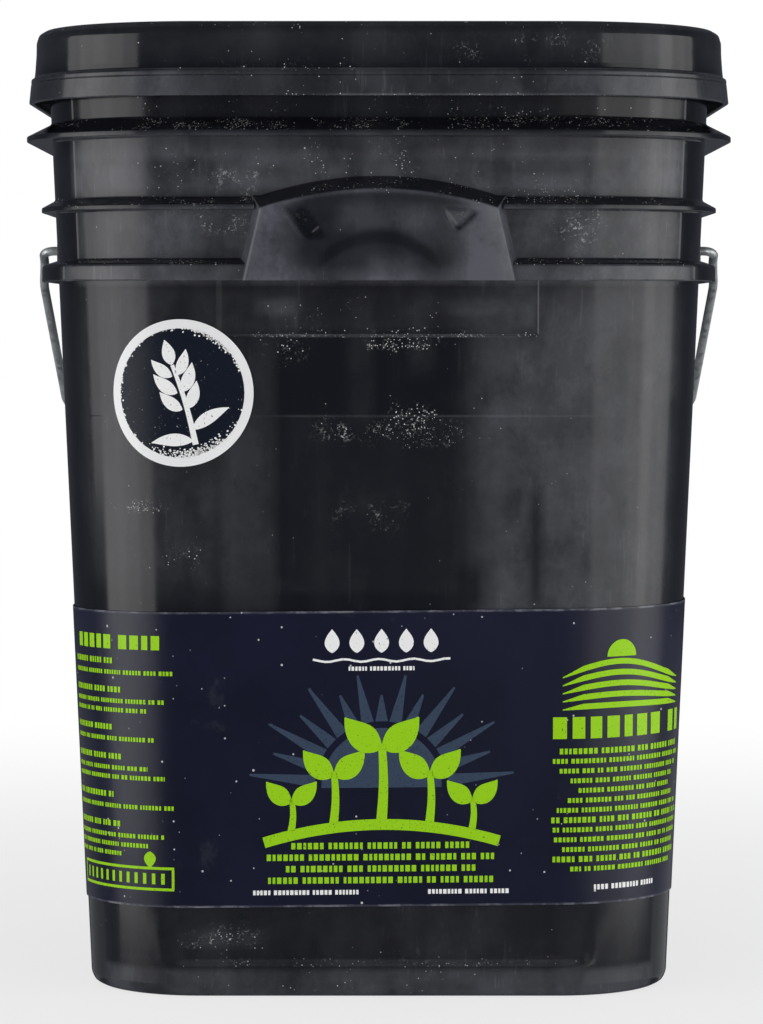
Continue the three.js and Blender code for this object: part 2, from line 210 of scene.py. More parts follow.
@dataclass(frozen=True)
class WearPatch:
    """A soft-edged patch of wear on a moulded wall.

    Args:
        along: from where to where, as a distance round the outline from the front's middle.
        z: its lower and upper edge.
        soft: half the width of its soft edges, along and up.
        strength: how strong it is; less than 0 takes wear away.
        lean: how far it leans along for each unit of height.
    """

    along: Pair
    z: Pair
    soft: Pair
    strength: float
    lean: float = 0.0

    def at(self, along: Array, z: Array) -> Array:
        """The strength at places: a smooth step up and a smooth step down, both ways."""
        first, last = self.along
        low, high = self.z
        aside, upward = self.soft
        along = along - self.lean * (z - (low + high) / 2)
        across = smooth(first - aside, first + aside, along) * smooth(last + aside, last - aside, along)
        up = smooth(low - upward, low + upward, z) * smooth(high + upward, high - upward, z)
        return self.strength * across * up


def patch_rows(*rows: tuple[float, ...]) -> tuple[WearPatch, ...]:
    """Patches from rows: along from and to, z from and to, soft along and up, strength, lean."""
    return tuple(WearPatch(row[0:2], row[2:4], row[4:6], *row[6:]) for row in rows)


@dataclass(frozen=True)
class Wear:
    """Haze, crumbs of dust and scuffs on a moulded piece; some haze patches are painted highlights, painted
    shade or painted reflections.

    Args:
        haze_and_painted_light: patches of haze on places that don't face up; some of them are painted
            highlights, painted shade or painted reflections.
        ledge_haze: patches of haze on places that do.
        crumbs: patches of crumbs.
        scuffs: patches of fine scuff marks.
        ledge_crumbs: how many more crumbs lie on places that face up.
    """

    haze_and_painted_light: tuple[WearPatch, ...] = ()
    ledge_haze_and_painted_light: tuple[WearPatch, ...] = ()
    crumbs: tuple[WearPatch, ...] = ()
    scuffs: tuple[WearPatch, ...] = ()
    ledge_crumbs: float = 0.3

    def write(self, mesh: bpy.types.Mesh, plan: "SquarePlan") -> None:
        """Writes the point attributes of haze with its painted light, of crumbs and of scuffs, all 0 to 1.
        """
        x, y, z = read_points(mesh, "co").T.astype(float) / MM
        along = plan.along(x, y)
        ledge = smooth(*LEDGE, read_points(mesh, "normal")[:, 2])

        def total(patches: tuple[WearPatch, ...], start: Array) -> Array:
            """The patches' strengths at every point, added to a start."""
            return sum((patch.at(along, z) for patch in patches), start)

        clean = np.zeros(len(z))
        haze_and_painted_light = total(self.haze_and_painted_light, clean) * (1 - ledge) + total(self.ledge_haze_and_painted_light, clean) * ledge
        crumbs = total(self.crumbs, self.ledge_crumbs * ledge)
        for name, values in (("haze_and_painted_light", haze_and_painted_light), ("crumbs", crumbs), ("scuffs", total(self.scuffs, clean))):
            layer = mesh.attributes.new(name, "FLOAT", "POINT")
            layer.data.foreach_set("value", np.clip(values, 0.0, 1.0).astype(np.float32))


def write_piece(name: str, data: MeshData, material: Material, shading: Shading) -> bpy.types.Object:
    """Puts a mesh into the scene, in metres.

    Args:
        name: the piece's name.
        data: the mesh in millimetres.
        material: its finish.
        shading: the crease angle.

    Returns:
        The new object, at the origin.
    """
    mesh = bpy.data.meshes.new(name)
    faces = len(data.quads) + len(data.triangles)
    loops = np.concatenate([data.quads.ravel(), data.triangles.ravel()]).astype(np.int32)
    sizes = np.concatenate([np.full(len(data.quads), 4), np.full(len(data.triangles), 3)])
    mesh.vertices.add(len(data.points))
    mesh.vertices.foreach_set("co", (data.points * MM).astype(np.float32).ravel())
    mesh.loops.add(len(loops))
    mesh.loops.foreach_set("vertex_index", loops)
    mesh.polygons.add(faces)
    mesh.polygons.foreach_set("loop_start", np.concatenate([[0], np.cumsum(sizes)[:-1]]).astype(np.int32))
    if data.uv is not None:
        layer = mesh.uv_layers.new(name="place")
        layer.data.foreach_set("uv", data.uv[loops].astype(np.float32).ravel())
    mesh.update(calc_edges=True)
    mesh.validate()
    mesh.polygons.foreach_set("use_smooth", np.ones(faces, dtype=bool))
    if shading is not Shading.SMOOTH:
        mesh.set_sharp_from_angle(angle=float(np.radians(shading.value)))
    mesh.materials.append(material)
    piece = bpy.data.objects.new(name, mesh)
    bpy.context.scene.collection.objects.link(piece)
    return piece


def mount_piece(piece: bpy.types.Object, body: str, replaced: Sequence[str] = ()) -> None:
    """Ties a piece to its body and the solids that it stands for.

    Args:
        piece: the piece.
        body: the body that it rides on.
        replaced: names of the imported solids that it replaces.
    """
    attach(piece, body)
    if replaced:
        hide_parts(*replaced)
    LOG.info("%s: %d faces, on %s", piece.name, len(piece.data.polygons), body)


# ---- profiles


@dataclass(frozen=True)
class Corner:
    """A corner of a profile: its reach from the axis, its height and the radius that rounds it."""

    reach: float
    z: float
    fillet: float = 0.0


def corners(*rows: tuple[float, ...]) -> list[Corner]:
    """Corners from rows of a reach, a height and, where it is rounded, a radius."""
    return [Corner(*row) for row in rows]


def rounded_profile(
    outline: Sequence[Corner], longest: float, arc_step: float = 26.0, support: float = 0.3
) -> Array:
    """A profile through corners, each rounded by an arc that touches both of its sides.

    One more point beside an arc keeps flat stretches flat when shaded.

    Args:
        outline: the profile's corners in order.
        longest: the longest step between two points.
        arc_step: the largest turn in one step of an arc, in degrees.
        support: how far from the arc's end the extra point is.

    Returns:
        (n, 2) points, each a reach and a height.
    """
    places = np.array([[corner.reach, corner.z] for corner in outline], dtype=float)
    points = [places[0]]
    for before, corner, spot, after in zip(places[:-2], outline[1:-1], places[1:-1], places[2:]):
        back, ahead = before - spot, after - spot
        back_length, ahead_length = np.linalg.norm(back), np.linalg.norm(ahead)
        back, ahead = back / back_length, ahead / ahead_length
        opening = np.arccos(np.clip(back @ ahead, -1.0, 1.0))
        if corner.fillet == 0.0 or np.pi - opening < 0.02:
            points.append(spot)
            continue
        reach = min(corner.fillet / np.tan(opening / 2), 0.42 * back_length, 0.42 * ahead_length)
        radius = reach * np.tan(opening / 2)
        middle = back + ahead
        centre = spot + middle / np.linalg.norm(middle) * radius / np.sin(opening / 2)
        first, last = spot + back * reach - centre, spot + ahead * reach - centre
        sweep = np.pi - opening
        arc = [
            centre + (np.sin(sweep * (1 - t)) * first + np.sin(sweep * t) * last) / np.sin(sweep)
            for t in spread(0.0, 1.0, arc_step / np.degrees(sweep))
        ]
        close = reach + support
        points.extend([spot + back * close] if back_length > 2 * close else [])
        points.extend(arc)
        points.extend([spot + ahead * close] if ahead_length > 2 * close else [])
    points.append(places[-1])
    refined = [points[0]]
    for start, end in zip(points[:-1], points[1:]):
        share = spread(0.0, 1.0, longest / max(np.linalg.norm(end - start), 1e-6))
        refined.extend(start + (end - start) * t for t in share[1:])
    return np.array(refined)


@dataclass(frozen=True)
class SquarePlan:
    """The rounded square that every level of the pail and of its lid follows.

    The corner arcs of all levels share their centres, so a wider level has rounder corners. Near
    the axis, the centres move in with the level.

    Args:
        centre: how far the arcs' centres are from the axis, both ways.
        share: the largest part of a level's reach that the centres may be out at.
    """

    centre: float = 66.0
    share: float = 0.75

    def columns(self, front: Array, flank: Array, arc: Array) -> tuple[Array, Array, Array]:
        """Stations round the outline, anticlockwise from above, starting on the front.

        Args:
            front: places along the straight front and back, from -centre to below centre.
            flank: the same for the two sides.
            arc: angles into a corner, from 0 to below 90.

        Returns:
            (n, 2) places on the square of the arcs' centres, (n, 2) outward directions, and (n)
            distances from the middle of the straight side, more than the centre on an arc.
        """
        turn = np.radians(arc)
        spots, outs, sides = [], [], []
        for quarter, flat in enumerate((front, flank, front, flank)):
            cosine, sine = (1, 0, -1, 0)[quarter], (0, 1, 0, -1)[quarter]
            turned = np.array([[cosine, sine], [-sine, cosine]], dtype=float)
            edge = np.stack([flat, np.full_like(flat, -self.centre)], axis=1)
            corner = np.tile([self.centre, -self.centre], (len(arc), 1))
            ahead = np.stack([np.sin(turn), -np.cos(turn)], axis=1)
            spots.append(np.concatenate([edge, corner]) @ turned)
            outs.append(np.concatenate([np.tile([0.0, -1.0], (len(flat), 1)), ahead]) @ turned)
            sides.append(np.concatenate([np.abs(flat), np.full(len(arc), 2 * self.centre)]))
        return np.concatenate(spots), np.concatenate(outs), np.concatenate(sides)

    def place(self, spot: Array, out: Array, reach: Array, z: Array) -> Array:
        """Points at a reach and a height: the arcs' centre, then outwards by what is left.

        Args:
            spot: (columns, 2) places from columns().
            out: (columns, 2) directions from columns().
            reach: (rows, columns) half widths.
            z: (rows, columns) heights.

        Returns:
            (rows, columns, 3) points.
        """
        centre = np.minimum(self.centre, self.share * reach)
        flat = spot * (centre / self.centre)[..., None] + out * (reach - centre)[..., None]
        return np.concatenate([flat, z[..., None]], axis=2)

    def along(self, x: Array, y: Array) -> Array:
        """The distance round the outline from the front's middle, positive towards +X.

        Formula: the runs along the half front, the side and the half back, and the arcs between them
        at a nominal radius.

        Args:
            x: places across.
            y: places from front to back.

        Returns:
            The distances.
        """
        centre, radius = self.centre, 0.82 * self.centre
        over = np.maximum(np.abs(x) - centre, 0.0)
        front = np.where(y < -centre, np.arctan2(over, np.maximum(-y - centre, 0.0) + 1e-9), np.pi / 2)
        back = np.where(y > centre, np.arctan2(y - centre, over + 1e-9), 0.0)
        run = np.where(y < 0, np.minimum(np.abs(x), centre), 2 * centre - np.minimum(np.abs(x), centre))
        distance = run + radius * (front + back) + np.clip(y + centre, 0.0, 2 * centre)
        return np.where(x < 0, -distance, distance)


@dataclass(frozen=True)
class Wall:
    """The pail's outer wall: a rounded square that widens upwards, its sides bowed out a little.

    Args:
        base_half: half the width at height 0.
        taper: how much wider a half is for each unit of height.
        bow: how far the middle of a side stands out of its plane.
        bow_zone: heights where the bow starts, is full, still is full, and ends.
    """

    base_half: float = 108.2
    taper: float = 0.0437
    bow: float = 0.8
    bow_zone: tuple[float, float, float, float] = (14.0, 80.0, 180.0, 258.0)
    plan: SquarePlan = SquarePlan()

    def half(self, z: Array | float) -> Array | float:
        """Half the width of the plain wall at a height."""
        return self.base_half + self.taper * z

    def bowed(self, side: Array, z: Array) -> Array:
        """How far the wall stands out: a squared cosine along the side, times a step in height."""
        start, full, still, end = self.bow_zone
        height = smooth(start, full, z) * smooth(end, still, z)
        along = np.where(np.abs(side) < self.plan.centre, np.cos(np.pi * side / (2 * self.plan.centre)), 0.0)
        return self.bow * height * along**2

    def point(self, along: Array, z: Array, lift: Array | float) -> Array:
        """Places on the wall, bent round its corners.

        Formula: the distance is spent on half the front, an arc, a side, an arc and the back in turn;
        the arcs turn the outward direction, and the flats carry the point along.

        Args:
            along: distance round the wall from the front's middle, positive towards +X.
            z: heights.
            lift: how far off the wall.

        Returns:
            (..., 3) points.
        """
        along, z = np.broadcast_arrays(np.asarray(along, dtype=float), np.asarray(z, dtype=float))
        centre = self.plan.centre
        radius = self.half(z) + lift - centre
        arc = radius * np.pi / 2
        far = np.abs(along)
        turn = np.clip(far - centre, 0, arc) / radius
        side = np.clip(far - centre - arc, 0, 2 * centre)
        turn_back = np.clip(far - 3 * centre - arc, 0, arc) / radius
        back = np.maximum(far - 3 * centre - 2 * arc, 0)
        x = np.minimum(far, centre) + radius * np.sin(turn) - radius * (1 - np.cos(turn_back)) - back
        y = -(centre + radius * np.cos(turn)) + side + radius * np.sin(turn_back)
        on_side = far - 2 * centre - arc
        on_back = far - 4 * centre - 2 * arc
        out = self.bowed(far, z) + self.bowed(on_side, z) + self.bowed(on_back, z)
        heading = turn + turn_back
        x = x + out * np.sin(heading)
        y = y - out * np.cos(heading)
        return np.stack([np.where(along < 0, -x, x), y, z], axis=-1)

    def perimeter(self, z: Array | float, lift: float) -> Array | float:
        """The distance all the way round at a height."""
        return 8 * self.plan.centre + 2 * np.pi * (self.half(z) + lift - self.plan.centre)


# ---- shader maths


class Signal:
    """A node's output. Each operator adds the Math node that works it out."""

    def __init__(self, graph: "Graph", socket: bpy.types.NodeSocket) -> None:
        """Wraps a socket of a graph."""
        self.graph = graph
        self.socket = socket

    def __add__(self, other: Value) -> "Signal":
        """The sum."""
        return self.graph.math("ADD", self, other)

    def __sub__(self, other: Value) -> "Signal":
        """The difference."""
        return self.graph.math("SUBTRACT", self, other)

    def __rsub__(self, other: float) -> "Signal":
        """A number less this value."""
        return self.graph.math("SUBTRACT", other, self)

    def __mul__(self, other: Value) -> "Signal":
        """The product."""
        return self.graph.math("MULTIPLY", self, other)

    __radd__ = __add__
    __rmul__ = __mul__

    def step(self, low: float, high: float) -> "Signal":
        """A smooth step from 0 at low to 1 at high."""
        return self.graph.node(
            "ShaderNodeMapRange",
            {"interpolation_type": "SMOOTHSTEP"},
            {"Value": self, "From Min": low, "From Max": high, "To Min": 0.0, "To Max": 1.0},
        )

    def clamped(self) -> "Signal":
        """This value, kept between 0 and 1."""
        return self.graph.node("ShaderNodeClamp", {}, {"Value": self})


class Graph:
    """The nodes of one material, with the patterns that its finish is made of."""

    def __init__(self, name: str) -> None:
        """Starts an empty material of that name."""
        self.material = bpy.data.materials.new(name)
        self.material.use_nodes = True
        self.tree = self.material.node_tree
        self.tree.nodes.clear()

    def node(self, kind: str, settings: dict, inputs: dict, output: str | int = 0) -> Signal:
        """Adds a node.

        Args:
            kind: the node's type.
            settings: its properties, set first.
            inputs: a value or a Signal for each socket, by name or number.
            output: the output that is wanted, by name or number.

        Returns:
            That output.
        """
        made = self.tree.nodes.new(kind)
        for key, value in settings.items():
            setattr(made, key, value)
        for key, value in inputs.items():
            if isinstance(value, Signal):
                self.tree.links.new(value.socket, made.inputs[key])
            else:
                made.inputs[key].default_value = value
        return Signal(self, made.outputs[output])

    def math(self, operation: str, first: Value, second: Value) -> Signal:
        """Adds a Math node of that operation."""
        return self.node("ShaderNodeMath", {"operation": operation}, {0: first, 1: second})

    def mix(self, share: Value, first: "Signal | tuple", second: "Signal | tuple") -> Signal:
        """A colour between two colours."""
        return self.node(
            "ShaderNodeMix", {"data_type": "RGBA"}, {0: share, 6: rgba(first), 7: rgba(second)}, 2
        )

    def place(self) -> Signal:
        """The point's place on the piece, in metres."""
        return self.node("ShaderNodeTexCoord", {}, {}, "Object")

    def across_film(self) -> Signal:
        """The piece's texture place."""
        return self.node("ShaderNodeUVMap", {"uv_map": "place"}, {})

    def wear(self, name: str) -> Signal:
        """A point attribute of the piece's wear, 0 to 1."""
        return self.node("ShaderNodeAttribute", {"attribute_name": name}, {}, "Fac")

    def noise(self, place: Signal, scale: float, detail: float, rough: float) -> Signal:
        """Cloudy noise around 0.5, its features about 1/scale wide."""
        inputs = {"Vector": place, "Scale": scale, "Detail": detail, "Roughness": rough}
        return self.node("ShaderNodeTexNoise", {}, inputs)

    def streaks(self, scale: Triple, detail: float, rough: float, turn: Triple = (0.0, 0.0, 0.0)) -> Signal:
        """Noise with features about 1/scale wide along each axis, turned by three angles."""
        radians = tuple(float(np.radians(angle)) for angle in turn)
        inputs = {"Vector": self.place(), "Scale": scale, "Rotation": radians}
        place = self.node("ShaderNodeMapping", {"vector_type": "POINT"}, inputs)
        return self.noise(place, 1.0, detail, rough)

    def specks(self, place: Signal, scale: float, share: Value, size: float) -> Signal:
        """Dots of uneven size and brightness, one in some of the cells of a Voronoi pattern.

        Args:
            place: where the pattern is read.
            scale: cells to a metre.
            share: the part of the cells that hold a dot.
            size: the largest dot's radius as a part of its cell.

        Returns:
            Up to 1 in a dot and 0 outside.
        """
        inputs = {"Vector": place, "Scale": scale}
        distance = self.node("ShaderNodeTexVoronoi", {}, inputs)
        cell = self.node("ShaderNodeTexVoronoi", {}, inputs, "Color")
        chance = self.node("ShaderNodeSeparateColor", {}, {"Color": cell}, "Red")
        body = self.node("ShaderNodeSeparateColor", {}, {"Color": cell}, "Green")
        inside = (size * (0.45 + body * 0.55) - distance).step(0.0, 0.35 * size)
        return inside * (share - chance).step(0.0, 0.004) * (0.35 + body * 0.65)

    def bump(self, height: Signal, distance: float, strength: float) -> Signal:
        """Relief: the height, at 1, stands up by the distance in metres."""
        inputs = {"Height": height, "Distance": distance, "Strength": strength}
        return self.node("ShaderNodeBump", {}, inputs)

    def finish(self, **sockets: "Signal | float | tuple") -> Material:
        """Adds the surface shader and the output.

        Args:
            sockets: values by the shader's socket names, with _ for a space.

        Returns:
            The finished material.
        """
        inputs = {key.replace("_", " "): value for key, value in sockets.items()}
        shader = self.node("ShaderNodeBsdfPrincipled", {}, inputs)
        output = self.tree.nodes.new("ShaderNodeOutputMaterial")
        self.tree.links.new(shader.socket, output.inputs["Surface"])
        return self.material


def rgba(colour: "Signal | tuple") -> "Signal | tuple":
    """A colour of three numbers with its alpha; a Signal stays as it is."""
    return colour if isinstance(colour, Signal) else (*colour, 1.0)


# ---- finishes


@dataclass(frozen=True)
class MouldedPolyethylene:
    """Glossy black polyethylene, handled in a dusty store; it reads what a Wear writes.

    Args:
        colour: the clean plastic.
        haze_and_painted_light: the colour that rubbed and dusty places turn to, and that painted highlights
            lighten towards.
        dust: the colour of crumbs and scuffs.
        roughness: the clean plastic's roughness.
    """

    name: str
    colour: Triple = (0.0050, 0.0054, 0.0084)
    haze_and_painted_light: Triple = (0.102, 0.104, 0.119)
    dust: Triple = (0.66, 0.66, 0.64)
    roughness: float = 0.13

    def mottle(self, graph: Graph, haze_and_painted_light: Signal) -> Signal:
        """The haze, painted highlights and shade included, as it lies: cloudy, wiped up and down, stained,
        blotted and drawn with fine rubs.

        Args:
            graph: the material's nodes.
            haze_and_painted_light: how hazy the place is on the whole, painted highlights and shade
                included, 0 to 1.

        Returns:
            How hazy the point is, 0 to 1.
        """
        place = graph.place()
        clouds = graph.noise(place, 26.0, 7.0, 0.66)
        wipes = graph.streaks((52.0, 52.0, 4.5), 2.0, 0.5)
        blots = graph.streaks((52.0, 52.0, 26.0), 3.0, 0.55).step(0.56, 0.72)
        grain = graph.noise(place, 520.0, 3.0, 0.7)
        upright = graph.streaks((480.0, 480.0, 22.0), 2.0, 0.6).step(0.60, 0.74)
        slanting = graph.streaks((700.0, 700.0, 40.0), 1.0, 0.5, (24.0, 31.0, 0.0)).step(0.66, 0.72)
        rubs = (upright * 0.5 + slanting) * clouds.step(0.46, 0.62)
        stains = graph.streaks((46.0, 46.0, 30.0), 8.0, 0.74, (3.0, 1.0, 7.0)).step(0.46, 0.57)
        uneven = 0.72 + (clouds - 0.5) * 2.2 + (wipes - 0.5) * 1.4 + grain * 0.2
        level = haze_and_painted_light * uneven.clamped() * (1.0 - blots * 0.42) * (1.12 - stains * 0.28)
        film = 0.02 + clouds.step(0.50, 0.85) * 0.10 + (wipes - 0.5).step(0.0, 0.3) * 0.05
        return (film + level + rubs * (0.06 + haze_and_painted_light * 0.36)).clamped()

    def litter(self, graph: Graph, crumbs: Signal, scuffs: Signal) -> Signal:
        """The crumbs and scuff marks: dots in clumps, chipped flecks, and thin curling wisps.

        Args:
            graph: the material's nodes.
            crumbs: how thick crumbs lie, 0 to 1.
            scuffs: how scuffed the place is, 0 to 1.

        Returns:
            1 in the middle of a mark and 0 outside.
        """
        place = graph.place()
        clumps = graph.noise(place, 88.0, 3.0, 0.6).step(0.42, 0.62)
        fine = graph.specks(place, 1450.0, 0.003 + crumbs * clumps, 0.40)
        coarse = graph.specks(place, 600.0, 0.0007 + crumbs * clumps * 0.22, 0.20)
        curls = graph.streaks((170.0, 170.0, 260.0), 3.0, 0.6)
        wisps = graph.math("ABSOLUTE", curls - 0.5, 0.0).step(0.018, 0.002)
        flecks = graph.noise(place, 820.0, 3.0, 0.7).step(0.57, 0.66)
        broken = graph.noise(place, 300.0, 2.0, 0.6).step(0.46, 0.60)
        marks = scuffs * clumps * (wisps * broken * 0.75 + flecks * 0.8)
        return (fine + coarse + marks + crumbs * clumps * flecks * 0.35).clamped()

    def build(self) -> Material:
        """Lays the haze, with its painted highlights and shade, over the plastic and the litter over the
        haze.
        """
        graph = Graph(self.name)
        veil_and_painted_light = self.mottle(graph, graph.wear("haze_and_painted_light"))
        litter = self.litter(graph, graph.wear("crumbs"), graph.wear("scuffs"))
        tone = graph.mix(litter, graph.mix(veil_and_painted_light, self.colour, self.haze_and_painted_light), self.dust)
        ripple = graph.streaks((7.0, 7.0, 11.0), 1.0, 0.5)
        return graph.finish(
            Base_Color=tone,
            Roughness=(self.roughness + veil_and_painted_light * 0.14 + litter * 0.4).clamped(),
            IOR=1.50,
            Specular_IOR_Level=0.5,
            Normal=graph.bump(ripple + litter * 0.05, 0.0011, 0.30),
        )


@dataclass(frozen=True)
class GalvanisedWire:
    """Bright galvanised steel wire with the fine lines of its drawing and duller patches."""

    name: str = "galvanised_wire"
    bright: Triple = (0.80, 0.83, 0.83)
    dull: Triple = (0.46, 0.49, 0.49)

    def build(self) -> Material:
        """Mottles the zinc and roughens its dull patches."""
        graph = Graph(self.name)
        place = graph.place()
        patches = graph.noise(place, 160.0, 4.0, 0.6).step(0.38, 0.64)
        lines = graph.streaks((2600.0, 2600.0, 90.0), 2.0, 0.5)
        return graph.finish(
            Base_Color=graph.mix(patches, self.bright, self.dull),
            Metallic=0.95 - patches * 0.45,
            Roughness=0.28 + patches * 0.22 + lines * 0.08,
            Normal=graph.bump(lines + patches * 0.5, 0.00006, 0.6),
        )


@dataclass(frozen=True)
class RollerPlastic:
    """Satin black plastic of the bail's roller, with a fine moulded grain and rubbed ridges."""

    name: str = "roller_plastic"
    colour: Triple = (0.011, 0.011, 0.013)
    rubbed: Triple = (0.045, 0.044, 0.043)

    def build(self) -> Material:
        """Rubs the plastic grey in patches over its grain."""
        graph = Graph(self.name)
        place = graph.place()
        worn = graph.noise(place, 55.0, 4.0, 0.65).step(0.50, 0.72)
        grain = graph.noise(place, 900.0, 2.0, 0.6)
        return graph.finish(
            Base_Color=graph.mix(worn * 0.7, self.colour, self.rubbed),
            Roughness=0.44 + worn * 0.2,
            Normal=graph.bump(grain, 0.0001, 0.5),
        )


@dataclass(frozen=True)
class ClosedCellFoam:
    """Pale closed-cell foam of the lid's gasket, pitted by its cells."""

    name: str = "gasket_foam"
    light: Triple = (0.60, 0.59, 0.55)
    dark: Triple = (0.42, 0.41, 0.37)

    def build(self) -> Material:
        """Darkens and sinks the walls between the cells."""
        graph = Graph(self.name)
        cells = graph.node("ShaderNodeTexVoronoi", {}, {"Vector": graph.place(), "Scale": 1400.0})
        return graph.finish(
            Base_Color=graph.mix(cells.step(0.2, 0.7), self.light, self.dark),
            Roughness=0.93,
            Normal=graph.bump(1.0 - cells, 0.0002, 0.7),
        )


@dataclass(frozen=True)
class PrintedFilm:
    """A satin printed film with light cut edges, dust specks and rubbed print.

    Args:
        colour: the print's main colour.
        deep: its darker places.
        edge: the film's own colour, seen on its cut edge.
        edge_share: the part of the film's height that the light edge takes up, 0 for none.
        speck_share: the part of the speck pattern's cells that hold a speck.
    """

    name: str
    colour: Triple
    deep: Triple
    edge: Triple
    edge_share: float
    speck_share: float
    roughness: float = 0.30

    def build(self) -> Material:
        """Prints the film, rubs it and lets its cut edge show."""
        graph = Graph(self.name)
        place = graph.place()
        shade = graph.noise(place, 30.0, 4.0, 0.6)
        tone = graph.mix(shade.step(0.35, 0.7), self.colour, self.deep)
        rubbed = graph.noise(place, 48.0, 5.0, 0.7).step(0.60, 0.80)
        fine = graph.specks(place, 480.0, self.speck_share, 0.26)
        coarse = graph.specks(place, 190.0, self.speck_share * 0.3, 0.15)
        specks = (fine + coarse).clamped()
        tone = graph.mix(rubbed * 0.10, tone, (0.16, 0.17, 0.19))
        tone = graph.mix(specks * 0.9, tone, (0.62, 0.63, 0.64))
        if self.edge_share > 0.0:
            height = graph.node("ShaderNodeSeparateXYZ", {}, {"Vector": graph.across_film()}, "Y")
            share = self.edge_share
            ragged = graph.noise(place, 240.0, 3.0, 0.6) * share
            low_cut = (height - ragged).step(share, 0.2 * share)
            high_cut = (height + ragged).step(1.0 - share, 1.0 - 0.2 * share)
            broken = graph.noise(place, 95.0, 4.0, 0.7).step(0.46, 0.62)
            tone = graph.mix((low_cut + high_cut).clamped() * (0.10 + broken * 0.34), tone, self.edge)
        return graph.finish(
            Base_Color=tone,
            Roughness=(self.roughness + rubbed * 0.18 + specks * 0.3).clamped(),
            Normal=graph.bump(graph.noise(place, 70.0, 3.0, 0.55) + specks * 0.03, 0.0004, 0.3),
        )


@dataclass(frozen=True)
class PrintInk:
    """One printing ink, thin and broken where the screen missed it."""

    name: str
    colour: Triple
    worn: Triple
    wear: float

    def build(self) -> Material:
        """Breaks the ink up with fine gaps that show the film below."""
        graph = Graph(self.name)
        place = graph.place()
        gaps = graph.noise(place, 1500.0, 2.0, 0.6).step(0.70 - 0.22 * self.wear, 0.76 - 0.18 * self.wear)
        streaks = graph.noise(place, 130.0, 3.0, 0.6).step(0.60, 0.80)
        return graph.finish(
            Base_Color=graph.mix((gaps + streaks * 0.4 * self.wear).clamped(), self.colour, self.worn),
            Roughness=0.32 + gaps * 0.2,
            Specular_IOR_Level=0.3,
            Normal=graph.bump(graph.noise(place, 700.0, 2.0, 0.5), 0.00006, 0.5),
        )


@dataclass(frozen=True)
class PaleFloor:
    """A plain pale studio floor with a faint mottle, whose own glow fades it to white.

    Args:
        near_glow: how much of the floor's brightness is its own near the pail.
        glow: distances from the middle, in metres, where more glow starts and where it is full.
    """

    name: str = "pale_floor"
    light: Triple = (0.86, 0.86, 0.87)
    dark: Triple = (0.82, 0.82, 0.83)
    near_glow: float = 0.72
    glow: Pair = (0.20, 0.95)

    def build(self) -> Material:
        """Mottles the floor and lets it glow, more by a smooth step of the distance."""
        graph = Graph(self.name)
        place = graph.place()
        clouds = graph.noise(place, 3.0, 3.0, 0.5)
        away = graph.node("ShaderNodeVectorMath", {"operation": "LENGTH"}, {0: place}, "Value")
        glowing = self.near_glow + away.step(*self.glow) * (1.0 - self.near_glow)
        return graph.finish(
            Base_Color=graph.mix(glowing, graph.mix(clouds, self.light, self.dark), (0.0, 0.0, 0.0)),
            Roughness=0.85,
            Emission_Color=graph.mix(glowing, (0.0, 0.0, 0.0), (1.0, 1.0, 1.0)),
            Emission_Strength=1.0,
            Specular_IOR_Level=0.0,
        )


# ---- pail body


